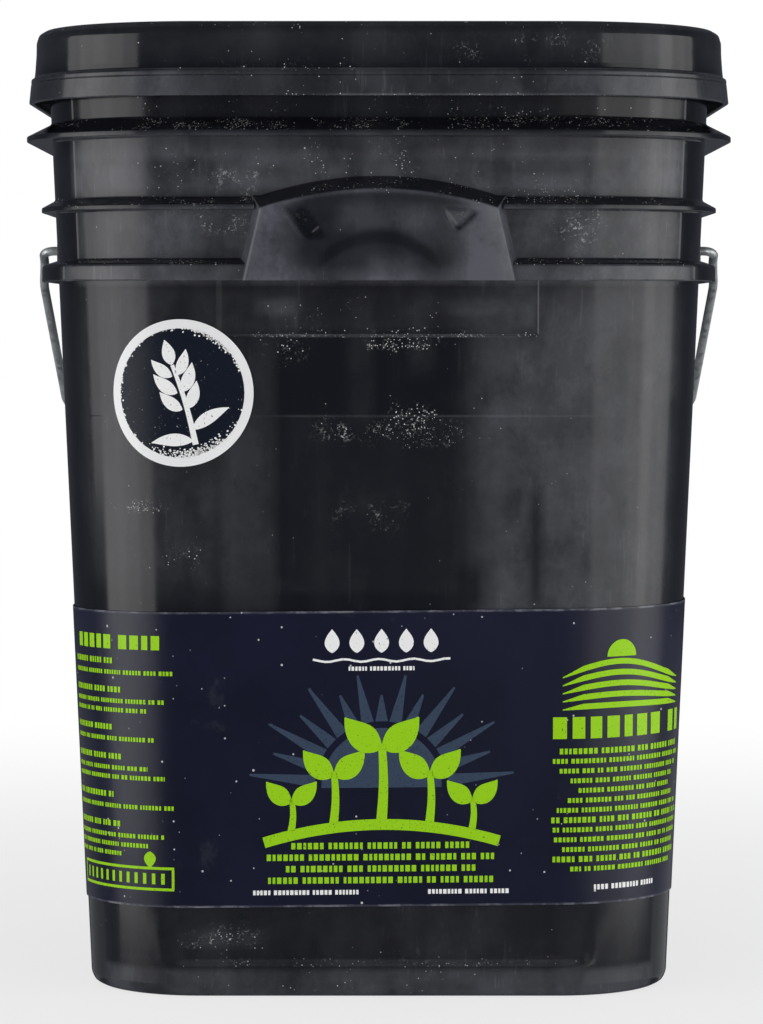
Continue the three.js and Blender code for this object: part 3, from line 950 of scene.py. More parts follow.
SHELL_WEAR = Wear(
    haze_and_painted_light=patch_rows(
        # between the ribs
        (-119, 119, 293, 306, 3, 4, 0.80), (-119, 119, 306, 315, 3, 2, 0.56),
        (-84, -64, 295, 306, 6, 4, -0.50), (-62, -24, 294, 306, 8, 4, -0.14),
        (38, 80, 300, 305, 10, 3, -0.42),
        # between the band and the low rib
        (-119, 119, 270, 289, 3, 2, 0.80), (-119, -84, 270, 289, 10, 2, -0.30),
        (-140, -103, 270, 289, 5, 2, -0.30), (99, 140, 270, 289, 5, 2, -0.34),
        # the band
        (-119, 119, 262, 269, 3, 1, 0.66),
        # the wall
        (36, 119, 60, 262, 9, 30, 0.56), (54, 59, 143, 190, 2, 8, -0.40), (44, 53, 175, 186, 4, 4, -0.22),
        (31, 41, 143, 160, 4, 6, -0.25), (-119, -56, 150, 262, 8, 14, 0.26),
        (-119, -98, 140, 262, 6, 10, -0.10), (86, 119, 130, 200, 8, 20, -0.16),
        (-56, -38, 143, 236, 3, 16, 0.22), (-12, -3, 212, 257, 2, 6, 0.12),
        (12, 18, 230, 257, 2, 6, 0.14), (-57, 57, 244, 261, 2, 2, 0.12), (-43, -30, 250, 256, 4, 2, 0.34),
        (26, 50, 250, 255, 8, 2, 0.30), (-39, 80, 213.4, 214.0, 14, 0.35, 0.30),
        (-39, 36, 150, 213.7, 10, 0.4, 0.04),
        # the foot; the band up to 10 is partly haze, partly a painted reflection of the floor
        (-119, 119, 0, 10, 3, 2, 0.50), (-119, 119, 10, 40, 3, 4, 0.10), (-72, -46, 19, 25, 10, 3, 0.26),
        (14, 40, 16, 30, 10, 5, 0.08),
        # single rubs
        (-46, -24, 304, 308, 6, 1.5, 0.30, 2.2), (-70, -30, 296, 300, 8, 2, 0.16),
        (-36, -30, 243, 262, 3, 5, 0.12),
        # above the high rib, the flanks and the back
        (-119, 119, 322, 350, 3, 2, 0.08), (150, 290, 0, 330, 10, 8, 0.22),
        (-290, -150, 0, 330, 10, 8, 0.22), (290, 450, 0, 320, 10, 8, 0.30),
        (-450, -290, 0, 320, 10, 8, 0.30),
    ),
    ledge_haze_and_painted_light=patch_rows(
        (-450, 450, 9, 16, 3, 2, 0.34), (-56, 57, 242.4, 243.3, 3, 0.4, 1.50),
    ),
    crumbs=patch_rows(
        # the high rib and above it
        (-82, -64, 317.5, 320.6, 4, 0.8, 0.90), (-52, -34, 317.5, 320.6, 4, 0.8, 0.90),
        (-18, 8, 317.5, 320.6, 6, 0.8, 0.90), (36, 87, 317.5, 320.6, 8, 0.8, 0.70),
        (-100, 100, 322, 328, 8, 2, 0.06), (20, 62, 322, 326, 8, 2, 0.16),
        # between the ribs
        (-72, -50, 291, 303, 8, 4, 0.36), (-28, 22, 301, 312, 12, 4, 0.22),
        (40, 76, 292, 299, 10, 3, 0.24), (-90, 80, 293, 312, 16, 6, 0.05),
        # the wall
        (-10, 22, 237.5, 241.5, 4, 1.5, 0.85), (-41, -25, 234, 240, 5, 2, 0.36),
        (-36, 20, 244, 258, 8, 4, 0.07), (-18, 6, 206, 219, 5, 4, 0.50), (6, 29, 204.5, 216, 5, 3, 0.90),
        (-101, -78, 179, 182, 5, 1.5, 0.75), (-85, -64, 158, 166, 6, 3, 0.26),
        # the foot
        (-72, -46, 19, 24, 8, 2, 0.30), (-60, 66, 3, 18, 10, 4, 0.05),
        # the label's upper edge, and the recess's lower edge
        (-110, 110, 142.9, 144.0, 6, 0.5, 0.55), (-56, 57, 242.4, 243.3, 3, 0.4, 1.00),
    ),
    scuffs=patch_rows(
        (-13, 8, 174, 181, 5, 3, 0.62), (-20, -2, 206, 212, 4, 2, 0.90), (-70, -48, 19, 25, 6, 2, 0.80),
        (-66, -48, 280, 290, 4, 3, 0.80), (65, 80, 275, 290, 5, 4, 0.55),
        (-60, -40, 293, 304, 8, 4, 0.40), (-98, -82, 179, 182, 5, 1.5, 0.60),
    ),
    ledge_crumbs=0.30,
)


@dataclass(frozen=True)
class PailShell:
    """The tub: foot, tapered wall, pull band, two ribs, bead, rim, and the inside.

    Args:
        groove: the ring groove under the foot: its inner and outer reach and its depth.
        low_rib: its reach, its underside, its tip and where it meets the wall above.
        high_rib: the same.
        grip_edge: how far from the middle the band ends at a hand grip, from and to.
        grip_taper: how much nearer the middle the low rib ends there.
        recess_half: half the width of the shallow recess under a grip.
        scoop_bottom: the ledge at the foot of the scoop.
        scoop_top: where the scoop runs out.
        scoop_depth: how deep it is at the ledge.
        scoop_floor: half the width of its floor.
        scoop_edge: half its whole width at the ledge, and at its top.
        parting_angle: where the mould's parting line crosses a corner, from the front or back.
        parting_line: its height and half its width in degrees.
        hairline: the height that the mould's witness line runs at, and how far it stands out.
    """

    wall: Wall
    thickness: float = 2.4
    middle: float = 30.0
    inner_bend: float = 42.0
    floor_top: float = 6.5
    foot_outer: float = 104.8
    foot_top: float = 4.0
    groove: Triple = (86.0, 97.0, 1.6)
    rim_top: float = 350.9
    band_reach: float = 125.9
    band_bottom: float = 262.6
    band_top: float = 268.7
    band_root: float = 270.5
    band_skin: float = 2.0
    low_rib: tuple[float, float, float, float] = (126.0, 288.2, 290.0, 292.7)
    high_rib: tuple[float, float, float, float] = (131.4, 314.4, 316.4, 321.0)
    bead: Pair = (125.2, 340.2)
    grip_edge: Pair = (46.8, 48.3)
    grip_taper: float = 3.2
    recess_half: float = 57.7
    recess_bottom: float = 243.0
    recess_depth: float = 0.9
    scoop_bottom: float = 11.8
    scoop_top: float = 36.0
    scoop_depth: float = 2.6
    scoop_floor: float = 69.0
    scoop_edge: Pair = (77.0, 89.0)
    parting_angle: float = 55.0
    parting_line: Pair = (0.22, 0.40)
    wear: Wear = SHELL_WEAR
    hairline: Pair = (213.7, 0.035)

    def profile(self) -> Array:
        """The whole profile, from the middle of the underside up the outside and down the inside."""
        half = self.wall.half
        inner, outer, depth = self.groove
        bead_reach, bead_z = self.bead
        line_z, line_out = self.hairline
        band_inner = self.band_reach - self.band_skin

        def flush(z: float, fillet: float = 0.0) -> Triple:
            """A row on the plain wall."""
            return half(z), z, fillet

        def rib(reach: float, under: float, tip: float, root: float, blend: float) -> tuple[Triple, ...]:
            """A rib's rows: a level underside, a short upright tip and a slope back to the wall."""
            return flush(under, 0.6), (reach, under + 0.1, 0.35), (reach, tip, 0.55), flush(root, blend)

        outside = corners(
            (self.middle, 0.0), (inner, 0.0, 0.4), (inner + 1, depth, 0.4),
            (outer - 1, depth, 0.4), (outer, 0.0, 0.4), (self.foot_outer, 0.0, 2.0),
            (self.foot_outer + 2.5, 1.2, 2.5), flush(self.foot_top, 2.5),
            *[flush(self.scoop_bottom + step) for step in (-0.5, 0.2, 0.9, 1.6, 2.4)],
            *[flush(line_z + step) for step in (-0.6, -0.25)],
            (half(line_z) + line_out, line_z),
            *[flush(line_z + step) for step in (0.25, 0.6)],
            *[flush(self.recess_bottom + step) for step in (-1.0, -0.5, 0.0, 0.5)],
            flush(self.band_top - 2.0, 0.5), (band_inner, self.band_top - 2.4, 0.5),
            (band_inner, self.band_bottom, 0.3), (self.band_reach, self.band_bottom, 0.7),
            (self.band_reach, self.band_top, 1.5), flush(self.band_root, 0.7),
            *rib(*self.low_rib, 1.2), *rib(*self.high_rib, 1.4),
            flush(bead_z - 1.8, 0.3), (bead_reach, bead_z - 0.9, 0.4),
            (bead_reach, bead_z + 1.0, 0.5), flush(bead_z + 3.0, 0.5),
            flush(self.rim_top, 0.9), (half(self.rim_top) - self.thickness / 2, self.rim_top),
        )
        inside = corners(
            (half(self.rim_top) - self.thickness / 2, self.rim_top),
            (half(self.rim_top) - self.thickness, self.rim_top, 0.9),
            (half(self.inner_bend) - self.thickness, self.inner_bend, 3.0),
            (half(self.scoop_bottom) - 5.0, self.scoop_bottom, 3.0),
            (half(self.scoop_bottom) - 8.0, self.floor_top, 2.5), (self.middle, self.floor_top),
        )
        return np.concatenate([rounded_profile(outside, 3.0), rounded_profile(inside, 30.0)[1:]])

    def stations(self) -> tuple[Array, Array, Array]:
        """The outline's columns, closer together by the grips, the recesses and the parting lines."""
        centre = self.wall.plan.centre
        near_grip, near_recess = spread(43.4, 48.6, 0.8), spread(56.4, 59.0, 0.65)
        fine = np.concatenate([near_grip, near_recess])
        front = np.unique(np.round(np.concatenate([spread(-centre, centre, 4.4)[:-1], fine, -fine]), 3))
        ridge = self.parting_angle + np.array([-1.2, -0.6, -0.3, 0.0, 0.3, 0.6, 1.2])
        arc = np.unique(np.round(np.concatenate([spread(0.0, 90.0, 4.0)[:-1], ridge, 90.0 - ridge]), 3))
        return self.wall.plan.columns(front, spread(-centre, centre, 8.8)[:-1], arc)

    def fold(self, profile: Array, crest: int, reach: Array, z: Array, beside: Array) -> int:
        """Folds the band and the low rib back to the wall where a hand grip stands.

        Formula: by a smooth step of its place across, a point moves to the plain wall, to the height
        that is its share of the fold's length.

        Args:
            profile: the profile.
            crest: the profile's highest point.
            reach: (rows, columns) half widths, changed in place.
            z: (rows, columns) heights, changed in place.
            beside: (rows, columns) distances from the grip's middle, endless on the flanks.

        Returns:
            The first row that folds.
        """
        past_crest = np.arange(len(profile)) > crest
        first = int(np.argmax(profile[:, 1] > self.band_top - 2.6))
        last = int(np.argmin(np.abs(profile[:, 1] - self.low_rib[3]) + past_crest * 1e3))
        zone = slice(first, last + 1)
        steps = np.linalg.norm(np.diff(profile[zone], axis=0), axis=1)
        share = np.concatenate([[0.0], np.cumsum(steps)]) / steps.sum()
        z_flat = (profile[first, 1] + share * (profile[last, 1] - profile[first, 1]))[:, None]
        higher = np.clip((z_flat - self.band_top) / (self.low_rib[1] - self.band_top), 0.0, 1.0)
        kept = smooth(*self.grip_edge, beside[zone] + self.grip_taper * higher)
        plain = self.wall.half(z_flat)
        reach[zone] = plain + kept * (reach[zone] - plain)
        z[zone] = z_flat + kept * (z[zone] - z_flat)
        return first

    def carved(self, z: Array, signed: Array, below_grip: Array) -> Array:
        """How deep the recess under a grip and the scoop at the foot are.

        Formula: products of smooth steps across and up; the recess is half as deep at its left end,
        and the scoop runs out evenly upwards while its sides spread.

        Args:
            z: (rows, columns) heights.
            signed: (rows, columns) places across, seen from outside.
            below_grip: whether a row lies below the fold.

        Returns:
            (rows, columns) depths.
        """
        half = self.recess_half
        recess = smooth(self.recess_bottom - 0.6, self.recess_bottom + 0.2, z)
        recess = recess * smooth(half + 0.4, half - 0.4, signed)
        recess = recess * smooth(-half - 1.3, -half + 1.3, signed) * below_grip
        recess = recess * (1.0 - 0.5 * smooth(0.0, -half, signed))
        low_edge, high_edge = self.scoop_edge
        rise = np.clip((z - self.scoop_bottom) / (self.scoop_top - self.scoop_bottom), 0, 1)
        edge = low_edge + (high_edge - low_edge) * rise
        scoop = smooth(self.scoop_bottom - 0.5, self.scoop_bottom + 2.4, z) * (1 - rise)
        scoop = scoop * smooth(edge, self.scoop_floor, np.abs(signed))
        return self.recess_depth * recess + self.scoop_depth * scoop

    def parting(self, profile: Array, out: Array, outside: Array, flush: Array) -> Array:
        """How far the mould's parting lines stand out: a bell curve of the angle round a corner.

        Args:
            profile: the profile.
            out: (columns, 2) outward directions.
            outside: which rows are on the outside.
            flush: which points are on the plain wall.

        Returns:
            (rows, columns) heights; on the band the line is a groove.
        """
        angle = np.degrees(np.arctan2(np.abs(out[:, 0]), np.abs(out[:, 1])))
        height, width = self.parting_line
        line = np.exp(-(((angle - self.parting_angle) / width) ** 2))
        reach, z = profile[:, :1], profile[:, 1:]
        above = outside & (z > self.band_bottom + 0.5) & (z < self.rim_top - 6)
        in_band = above & (z < self.band_root) & (reach > self.band_reach - 0.7)
        return np.where(in_band, -2.0 * height, np.where(above & flush, height, 0.0)) * line

    def mesh(self) -> MeshData:
        """The tub as one closed skin.

        Formula: the profile runs round the rounded square, folds back by the grips, and its reach
        changes by the carved places, the parting lines and the bow of the sides.

        Returns:
            The mesh.
        """
        plan = self.wall.plan
        spot, out, side = self.stations()
        profile = self.profile()
        ones = np.ones(len(spot))
        reach, z = profile[:, :1] * ones, profile[:, 1:] * ones
        index = np.arange(len(profile))[:, None]
        crest = int(np.argmax(profile[:, 1]))
        outside = index <= crest
        above_foot = z > self.foot_top - 0.1
        flush = outside & (np.abs(reach - self.wall.half(z)) < 0.02) & above_foot
        facing = np.abs(out[:, 1]) > np.abs(out[:, 0])
        signed = plan.place(spot, out, reach, z)[..., 0] * np.where(out[:, 1] > 0, -1.0, 1.0)
        first = self.fold(profile, crest, reach, z, np.where(facing, np.abs(signed), np.inf))
        cut = np.where(flush & facing, self.carved(z, signed, index < first), 0.0)
        bow = self.wall.bowed(side, z) * above_foot
        points = plan.place(spot, out, reach - cut + self.parting(profile, out, outside, flush) + bow, z)
        return turned_mesh(points, [0.0, 0.0, 0.0], [0.0, 0.0, self.floor_top])

    def build(self, material: Material) -> None:
        """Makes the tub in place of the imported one."""
        shell = write_piece("pail_shell", self.mesh(), material, Shading.MOULDED)
        self.wear.write(shell.data, self.wall.plan)
        mount_piece(shell, "pail", ["pail_body"])


GRIP_WEAR = Wear(
    haze_and_painted_light=patch_rows(
        # all over, and towards the ends
        (-60, 60, 240, 300, 2, 2, 0.16), (-60, -32, 255, 300, 7, 4, 0.92), (31, 60, 255, 300, 8, 4, 1.00),
        # the plate's middle
        (-36, 34, 258, 266, 10, 3, 0.34), (-3, 13, 261, 271, 5, 3, 0.40), (10, 34, 274, 288, 7, 4, 0.22),
        (-22, 20, 281, 290, 7, 3, 0.20), (-34, -16, 264, 270, 4, 3, 0.10),
        # painted highlights and painted shade by the sink marks and the ends: light lines on the marks'
        # creases and the plate's side edges, darker patches beside them
        (-30.5, -23.0, 278, 289, 2.0, 2.0, -0.34, -0.72),
        (-32.2, -31.4, 277.6, 289.4, 0.5, 0.6, 0.46, -0.72), (-24.0, -16.0, 282, 288, 4, 3, -0.16),
        (24.0, 30.0, 281, 288, 2, 2, 0.25, -0.5), (31.0, 34.5, 281, 288, 1.5, 1.5, -0.30, 0.9),
        (-46.3, -45.3, 264, 289, 0.5, 1.0, 0.80, 0.215), (45.3, 46.3, 264, 289, 0.5, 1.0, 0.80, -0.215),
        # painted highlight spots on the lower edge
        (33, 46, 262.8, 264.4, 3, 0.6, 0.60), (-3, 4, 262.8, 263.8, 2, 0.5, 0.50),
        # the back grip
        (368, 450, 240, 300, 4, 4, 0.34), (-450, -368, 240, 300, 4, 4, 0.34),
    ),
    crumbs=patch_rows((-30, 30, 294, 302, 8, 2, 0.10)),
    scuffs=patch_rows(
        (-27.5, -21.0, 279, 286, 2.0, 2.0, 0.12, -0.72), (24.0, 32.0, 281, 288, 2.0, 2.0, 0.12),
    ),
    ledge_crumbs=0.14,
)


@dataclass(frozen=True)
class HandGrip:
    """A moulded hand grip: an arched hollow plate on the wall, open below for the fingers.

    Args:
        reach: how far the plate's middle is from the axis.
        bulge: how much less its ends reach.
        half_bottom: half the plate's width at its foot.
        half_top: half the width at the arch.
        flare: how much wider the sides are at the wall.
        foot: the plate's lower edge.
        arch: heights of the arch at its ends and in the middle.
        root_rise: how much higher the sloping top meets the wall.
        dents: the sink marks' corners, each a place across and a height.
        dent_slopes: the shares of a mark that its steep side and its two ends take up.
        crease: how soft the creases to the sloping sides and to the sloping top are.
        border: the height over the wall below which the plate dips into it.
        turn_in: how much further the plate's last stretch turns in towards the wall.
        painted_edge_highlight: a painted highlight line along the arch, where the edge's bevel would catch
            light: its depth below the edge, its width, its strength.
        smear: the wiped, clean arch on the plate: its top, its rise, half its span, its width.
        smear_end: the parts of the half span where the smear starts to fade and where it ends.
        smear_strength: how much of the haze it takes away.
    """

    wall: Wall
    reach: float = 132.0
    bulge: float = 2.4
    half_bottom: float = 48.6
    half_top: float = 42.6
    flare: float = 3.2
    foot: float = 262.6
    arch: Pair = (288.4, 295.3)
    root_rise: float = 5.2
    skin: float = 2.2
    dents: tuple[tuple[Pair, ...], ...] = (
        ((-24.6, 276.4), (-35.4, 290.2), (-18.6, 283.8)),
        ((28.5, 279.4), (37.4, 287.8), (22.0, 289.2)),
    )
    dent_depth: float = 1.4
    dent_slopes: Pair = (0.16, 0.10)
    crease: Pair = (1.3, 1.6)
    border: float = 0.15
    turn_in: float = 1.5
    painted_edge_highlight: Triple = (0.5, 0.8, 0.42)
    smear: tuple[float, float, float, float] = (278.2, 7.4, 19.5, 2.7)
    smear_end: Pair = (0.95, 1.22)
    smear_strength: float = 0.80
    wear: Wear = GRIP_WEAR

    def dented(self, x: Array, z: Array) -> Array:
        """How deep the sink marks are at places.

        Formula: each is a three-sided pit, steep under its first side and rising to its third corner,
        worked out from a place's shares of the three corners.
        """
        deep = np.zeros_like(x)
        steep, end = self.dent_slopes
        for (first_x, first_z), (second_x, second_z), (third_x, third_z) in self.dents:
            area = (second_x - first_x) * (third_z - first_z) - (third_x - first_x) * (second_z - first_z)
            first = ((second_x - x) * (third_z - z) - (third_x - x) * (second_z - z)) / area
            second = ((third_x - x) * (first_z - z) - (first_x - x) * (third_z - z)) / area
            third = 1.0 - first - second
            slant = np.minimum(third / steep, (1.0 - third) / (1.0 - steep))
            ends = np.clip(np.minimum(first, second) / end, 0.0, 1.0)
            deep = np.maximum(deep, np.clip(slant, 0.0, 1.0) * ends)
        return self.dent_depth * deep

    def surface(self, skin: float, sunk: float) -> Array:
        """The grip's outer face, or an inner one that lies a skin further in.

        Formula: a grid follows the plate's own outline. The height over the wall is the least of the
        plate, its sloping sides and its sloping top, with rounded creases.

        Args:
            skin: how far inside the outer face.
            sunk: how deep in the wall the border lies.

        Returns:
            (rows, columns, 3) points of the front grip.
        """
        slope = spread(1.0, 2.0, 0.1)
        across = np.concatenate([-slope[::-1], spread(-1.0, 1.0, 0.018)[1:-1], slope])
        up = np.concatenate([spread(0.0, 0.94, 0.022), spread(0.94, 1.0, 0.015)[1:], slope[1:]])
        up, across = np.meshgrid(up, across, indexing="ij")
        inside = np.clip(across, -1.0, 1.0)
        beyond = np.abs(across - inside)
        top = np.clip(up - 1.0, 0.0, 1.0)
        end, middle = self.arch
        arch = middle - (middle - end) * inside**2 - skin
        height = np.minimum(up, 1.0)
        z = self.foot + height * (arch - self.foot) + top * self.root_rise
        half = self.half_bottom + (self.half_top - self.half_bottom) * height - skin
        x = inside * half + np.sign(across) * beyond * (self.flare + 0.4 * top)
        wall = self.wall.half(z)
        plate = self.reach - self.bulge * inside**2 - self.turn_in * inside**8 - skin - wall
        side_crease, top_crease = self.crease
        lift = soft_min(plate, (1.0 - beyond) * plate, side_crease)
        lift = soft_min(lift, (1.0 - top) * plate, top_crease)
        lift = lift - self.dented(x, z) * (top == 0.0)
        dip = sunk * (1 - np.clip(lift / self.border, 0, 1))
        lift = np.where(lift < self.border, np.clip(lift, 0, 1) - dip, lift)
        return np.stack([x, -(wall + lift), z], axis=2)

    def mesh(self) -> MeshData:
        """The hollow plate: its outer and inner face, joined round their border."""
        return film_mesh(self.surface(0.0, 1.2), self.surface(self.skin, 1.6))

    def highlight_and_wipe(self, mesh: bpy.types.Mesh) -> None:
        """Adds a painted highlight line along the arched upper edge, and wipes a darker arch below it.

        Formula: the haze changes by a bell curve of the height over each arch, whose height falls with
        the square of the place across. The wiped arch fades out past its span.
        """
        haze_and_painted_light = np.empty(len(mesh.vertices), dtype=np.float32)
        layer = mesh.attributes["haze_and_painted_light"]
        layer.data.foreach_get("value", haze_and_painted_light)
        x, _, z = read_points(mesh, "co").T.astype(float) / MM
        end, middle = self.arch
        edge = middle - (middle - end) * (x / self.half_top) ** 2
        # painted highlight: a bell curve of light haze along the arch's edge
        depth, width, strength = self.painted_edge_highlight
        line = strength * np.exp(-(((z - edge + depth) / width) ** 2))
        top, rise, half_span, width = self.smear
        middle_line = top - rise * (x / half_span) ** 2
        fade, gone = self.smear_end
        wiped = np.exp(-(((z - middle_line) / width) ** 4))
        wiped = wiped * smooth(gone * half_span, fade * half_span, np.abs(x))
        haze_and_painted_light = (haze_and_painted_light + line) * (1.0 - self.smear_strength * wiped)
        layer.data.foreach_set("value", np.clip(haze_and_painted_light, 0.0, 1.0).astype(np.float32))

    def build(self, material: Material) -> None:
        """Makes the grips on the front and on the back."""
        data = self.mesh()
        for name, side in (("hand_grip_front", data), ("hand_grip_back", data.turned_round())):
            grip = write_piece(name, side, material, Shading.MOULDED)
            self.wear.write(grip.data, self.wall.plan)
            self.highlight_and_wipe(grip.data)
            mount_piece(grip, "pail")


@dataclass(frozen=True)
class BailEar:
    """A round-headed boss on a side wall, with a bore for the bail's pin and a pocket for its head.

    Args:
        reach: its face.
        inside: how near the axis it starts, in the wall.
        pivot: the pin's height.
        foot: its lower end.
        edge: the radius that rounds its face.
        bore: the bore's radius.
        pocket: the pocket's radius.
        pocket_zone: from where to where the pocket reaches.
    """

    plan: SquarePlan
    reach: float = 125.6
    inside: float = 118.5
    pivot: float = 275.5
    foot: float = 264.0
    radius: float = 6.5
    edge: float = 0.9
    bore: float = 2.15
    pocket: float = 3.6
    pocket_zone: Pair = (119.8, 123.6)
    steps: int = 72
    wear: Wear = Wear(haze_and_painted_light=patch_rows((-300, 300, 200, 330, 2, 2, 0.35)))

    def outline(self) -> Array:
        """The boss from the side: a half circle over a foot, as a distance for each direction."""
        cosine, sine = np.cos(full_turn(self.steps)), np.sin(full_turn(self.steps))
        to_side = self.radius / np.maximum(np.abs(cosine), 1e-6)
        to_foot = (self.pivot - self.foot) / np.maximum(-sine, 1e-6)
        reach = np.where(sine >= 0, self.radius, soft_min(to_side, to_foot, 1.5))
        return np.stack([cosine * reach, sine * reach], axis=1)

    def mesh(self) -> MeshData:
        """The boss on the +X wall as one closed skin.

        Formula: rings run from the pocket's floor out through the bore, over the rounded face
        and down the sides into the wall; the outer rings are the outline, shrunk at its edge.

        Returns:
            The mesh.
        """
        angle = full_turn(self.steps)
        circle = np.stack([np.cos(angle), np.sin(angle)], axis=1)
        outline = self.outline()
        start, end = self.pocket_zone
        pocket, bore, reach = self.pocket, self.bore, self.reach
        turned = (
            (pocket, start), (pocket, end - 0.2), (pocket - 0.2, end), (bore, end), (bore, end + 0.3),
            (bore, reach - 0.5), (bore + 0.15, reach - 0.15), (bore + 0.5, reach), (bore + 0.9, reach),
        )
        rings = [(circle * radius, x) for radius, x in turned]
        for turn in np.radians(np.linspace(0, 90, 6)):
            shrink = 1 - self.edge * (1 - np.sin(turn)) / self.radius
            rings.append((outline * shrink, reach - self.edge * (1 - np.cos(turn))))
        rings.extend([(outline, reach - self.edge - 0.4), (outline, self.inside)])
        points = np.stack([
            np.stack([np.full(self.steps, x), ring[:, 0], ring[:, 1] + self.pivot], axis=1)
            for ring, x in rings
        ])
        return turned_mesh(points, [start, 0.0, self.pivot], [self.inside, 0.0, self.pivot])

    def build(self, material: Material) -> None:
        """Makes the ear on either side."""
        data = self.mesh()
        for name, side in (("bail_ear_right", data), ("bail_ear_left", data.turned_round())):
            piece = write_piece(name, side, material, Shading.MOULDED)
            self.wear.write(piece.data, self.plan)
            mount_piece(piece, "pail")


# ---- lid


LID_WEAR = Wear(
    haze_and_painted_light=patch_rows(
        # on the lower tier's left, from -110 to -60 along, the extra haze is a painted reflection
        (-450, 450, 326, 337.5, 2, 1, 0.30), (-110, -70, 326, 337.5, 7, 1, 0.40),
        (68, 110, 326, 337.5, 7, 1, 0.24), (40, 96, 326, 337.5, 10, 1, 0.14),
        (-86, -60, 326, 337.5, 8, 1, 0.12), (60, 100, 341, 353.5, 8, 2.5, 0.10),
        (-450, 450, 341, 353.5, 2, 2.5, 0.11), (-62, 72, 346, 353, 20, 3, 0.08),
        # the row from -20 to 74 at the skirt's lower edge is a painted highlight
        (-450, 450, 354, 360, 2, 1, 0.12), (-20, 74, 327.5, 329.2, 10, 0.4, 0.70),
    ),
    ledge_haze_and_painted_light=patch_rows(
        (-450, 450, 336, 347, 2, 1, 0.42), (-450, 450, 353, 358, 2, 1, 0.20),
    ),
    crumbs=patch_rows(
        (-450, 450, 326, 356, 2, 1, 0.01), (-40, 74, 327.5, 329.2, 10, 0.4, 0.60),
        (-60, 20, 337, 341, 10, 1, 0.10),
    ),
    scuffs=patch_rows(
        (32, 75, 342, 349, 8, 3, 0.60), (-62, -50, 336, 340, 8, 3, 0.25),
    ),
    ledge_crumbs=0.07,
)


@dataclass(frozen=True)
class PressFitLid:
    """The lid: a two-tier skirt with a tear line, a rounded rim and a recessed panel.

    Args:
        skirt_reach: the skirt's lower edge.
        skirt_bottom: its height.
        crease_z: the crease between the tiers.
        upper_reach: the upper tier's reach.
        top: the rim's height.
        panel_top: the recessed panel's height.
        rim_inner: the rim's inner reach.
        plug_reach: the reach of the skin's inside, which plugs the pail's rim.
        ceiling: the height of the skin's inside over the pail's rim.
        tear_line: the groove's height under the crease, its depth and its width.
        middle: where the profile starts and ends.
        rings: the panel's raised rings, each its outer and its inner reach.
    """

    plan: SquarePlan
    skirt_reach: float = 130.5
    skirt_bottom: float = 328.6
    crease_z: float = 337.6
    upper_reach: float = 127.7
    top: float = 355.6
    panel_top: float = 343.8
    rim_inner: float = 118.1
    plug_reach: float = 120.2
    ceiling: float = 353.3
    skin: float = 2.2
    tear_line: Triple = (1.3, 0.40, 0.55)
    middle: float = 20.0
    rings: tuple[Pair, ...] = ((97.0, 92.0), (60.0, 56.0))
    wear: Wear = LID_WEAR

    def profile(self) -> Array:
        """The profile from the underside's middle, round the skirt and over the rim to the panel."""
        reach, upper, panel = self.skirt_reach, self.upper_reach, self.panel_top
        below, depth, width = self.tear_line
        line = self.crease_z - below
        inner = upper - self.skin

        def ring(first: float, last: float) -> tuple[Triple, ...]:
            """The rows of a low raised ring on the panel."""
            top = panel + 0.5
            return (first, panel, 0.4), (first - 0.8, top, 0.3), (last + 0.8, top, 0.3), (last, panel, 0.4)

        rows = corners(
            (self.middle, panel - self.skin), (self.plug_reach - 1.9, panel - self.skin, 1.0),
            (self.plug_reach, panel + 1.2, 0.8), (self.plug_reach, self.ceiling, 0.6),
            (inner - 0.3, self.ceiling, 0.8), (inner, self.ceiling - 2.8, 0.8), (inner + 0.2, 345.6, 0.8),
            (126.2, 341.8, 0.6), (126.6, 339.0, 0.5), (124.6, 337.2, 0.3), (124.6, 336.2, 0.3),
            (reach - 2.4, 334.2, 0.5), (reach - self.skin + 0.2, self.skirt_bottom, 0.3),
            (reach, self.skirt_bottom, 0.55), (reach - 0.75, line - width, 0.1),
            (reach - 0.75 - depth, line - width / 2, 0.1), (reach - 0.80, line, 0.1),
            (reach - 0.90, self.crease_z, 0.45), (upper + 0.75, self.crease_z + 0.7, 0.8),
            (upper + 0.45, self.crease_z + 3.0, 2.0), (upper, self.crease_z + 9.0, 8.0),
            (upper - 0.1, self.top - 4.4, 2.0), (upper - 1.0, self.top - 1.6, 2.0),
            (upper - 3.6, self.top - 0.1, 2.0), (upper - 5.6, self.top, 1.5),
            (self.rim_inner + 0.6, self.top, 1.0), (self.rim_inner - 0.7, panel + 2.0, 1.0),
            (self.rim_inner - 2.6, panel, 1.0),
            *[row for reaches in self.rings for row in ring(*reaches)],
            (self.middle, panel),
        )
        return rounded_profile(rows, 7.0)

    def mesh(self) -> MeshData:
        """The lid as one closed skin: the profile runs round the rounded square."""
        flat = spread(-self.plan.centre, self.plan.centre, 6.0)[:-1]
        spot, out, _ = self.plan.columns(flat, flat, spread(0.0, 90.0, 2.5)[:-1])
        profile = self.profile()
        ones = np.ones(len(spot))
        points = self.plan.place(spot, out, profile[:, :1] * ones, profile[:, 1:] * ones)
        return turned_mesh(points, [0.0, 0.0, self.panel_top - self.skin], [0.0, 0.0, self.panel_top])

    def build(self, material: Material) -> None:
        """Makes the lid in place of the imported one."""
        lid = write_piece("lid_shell", self.mesh(), material, Shading.MOULDED)
        self.wear.write(lid.data, self.plan)
        mount_piece(lid, "pail", ["lid"])


# ---- bail


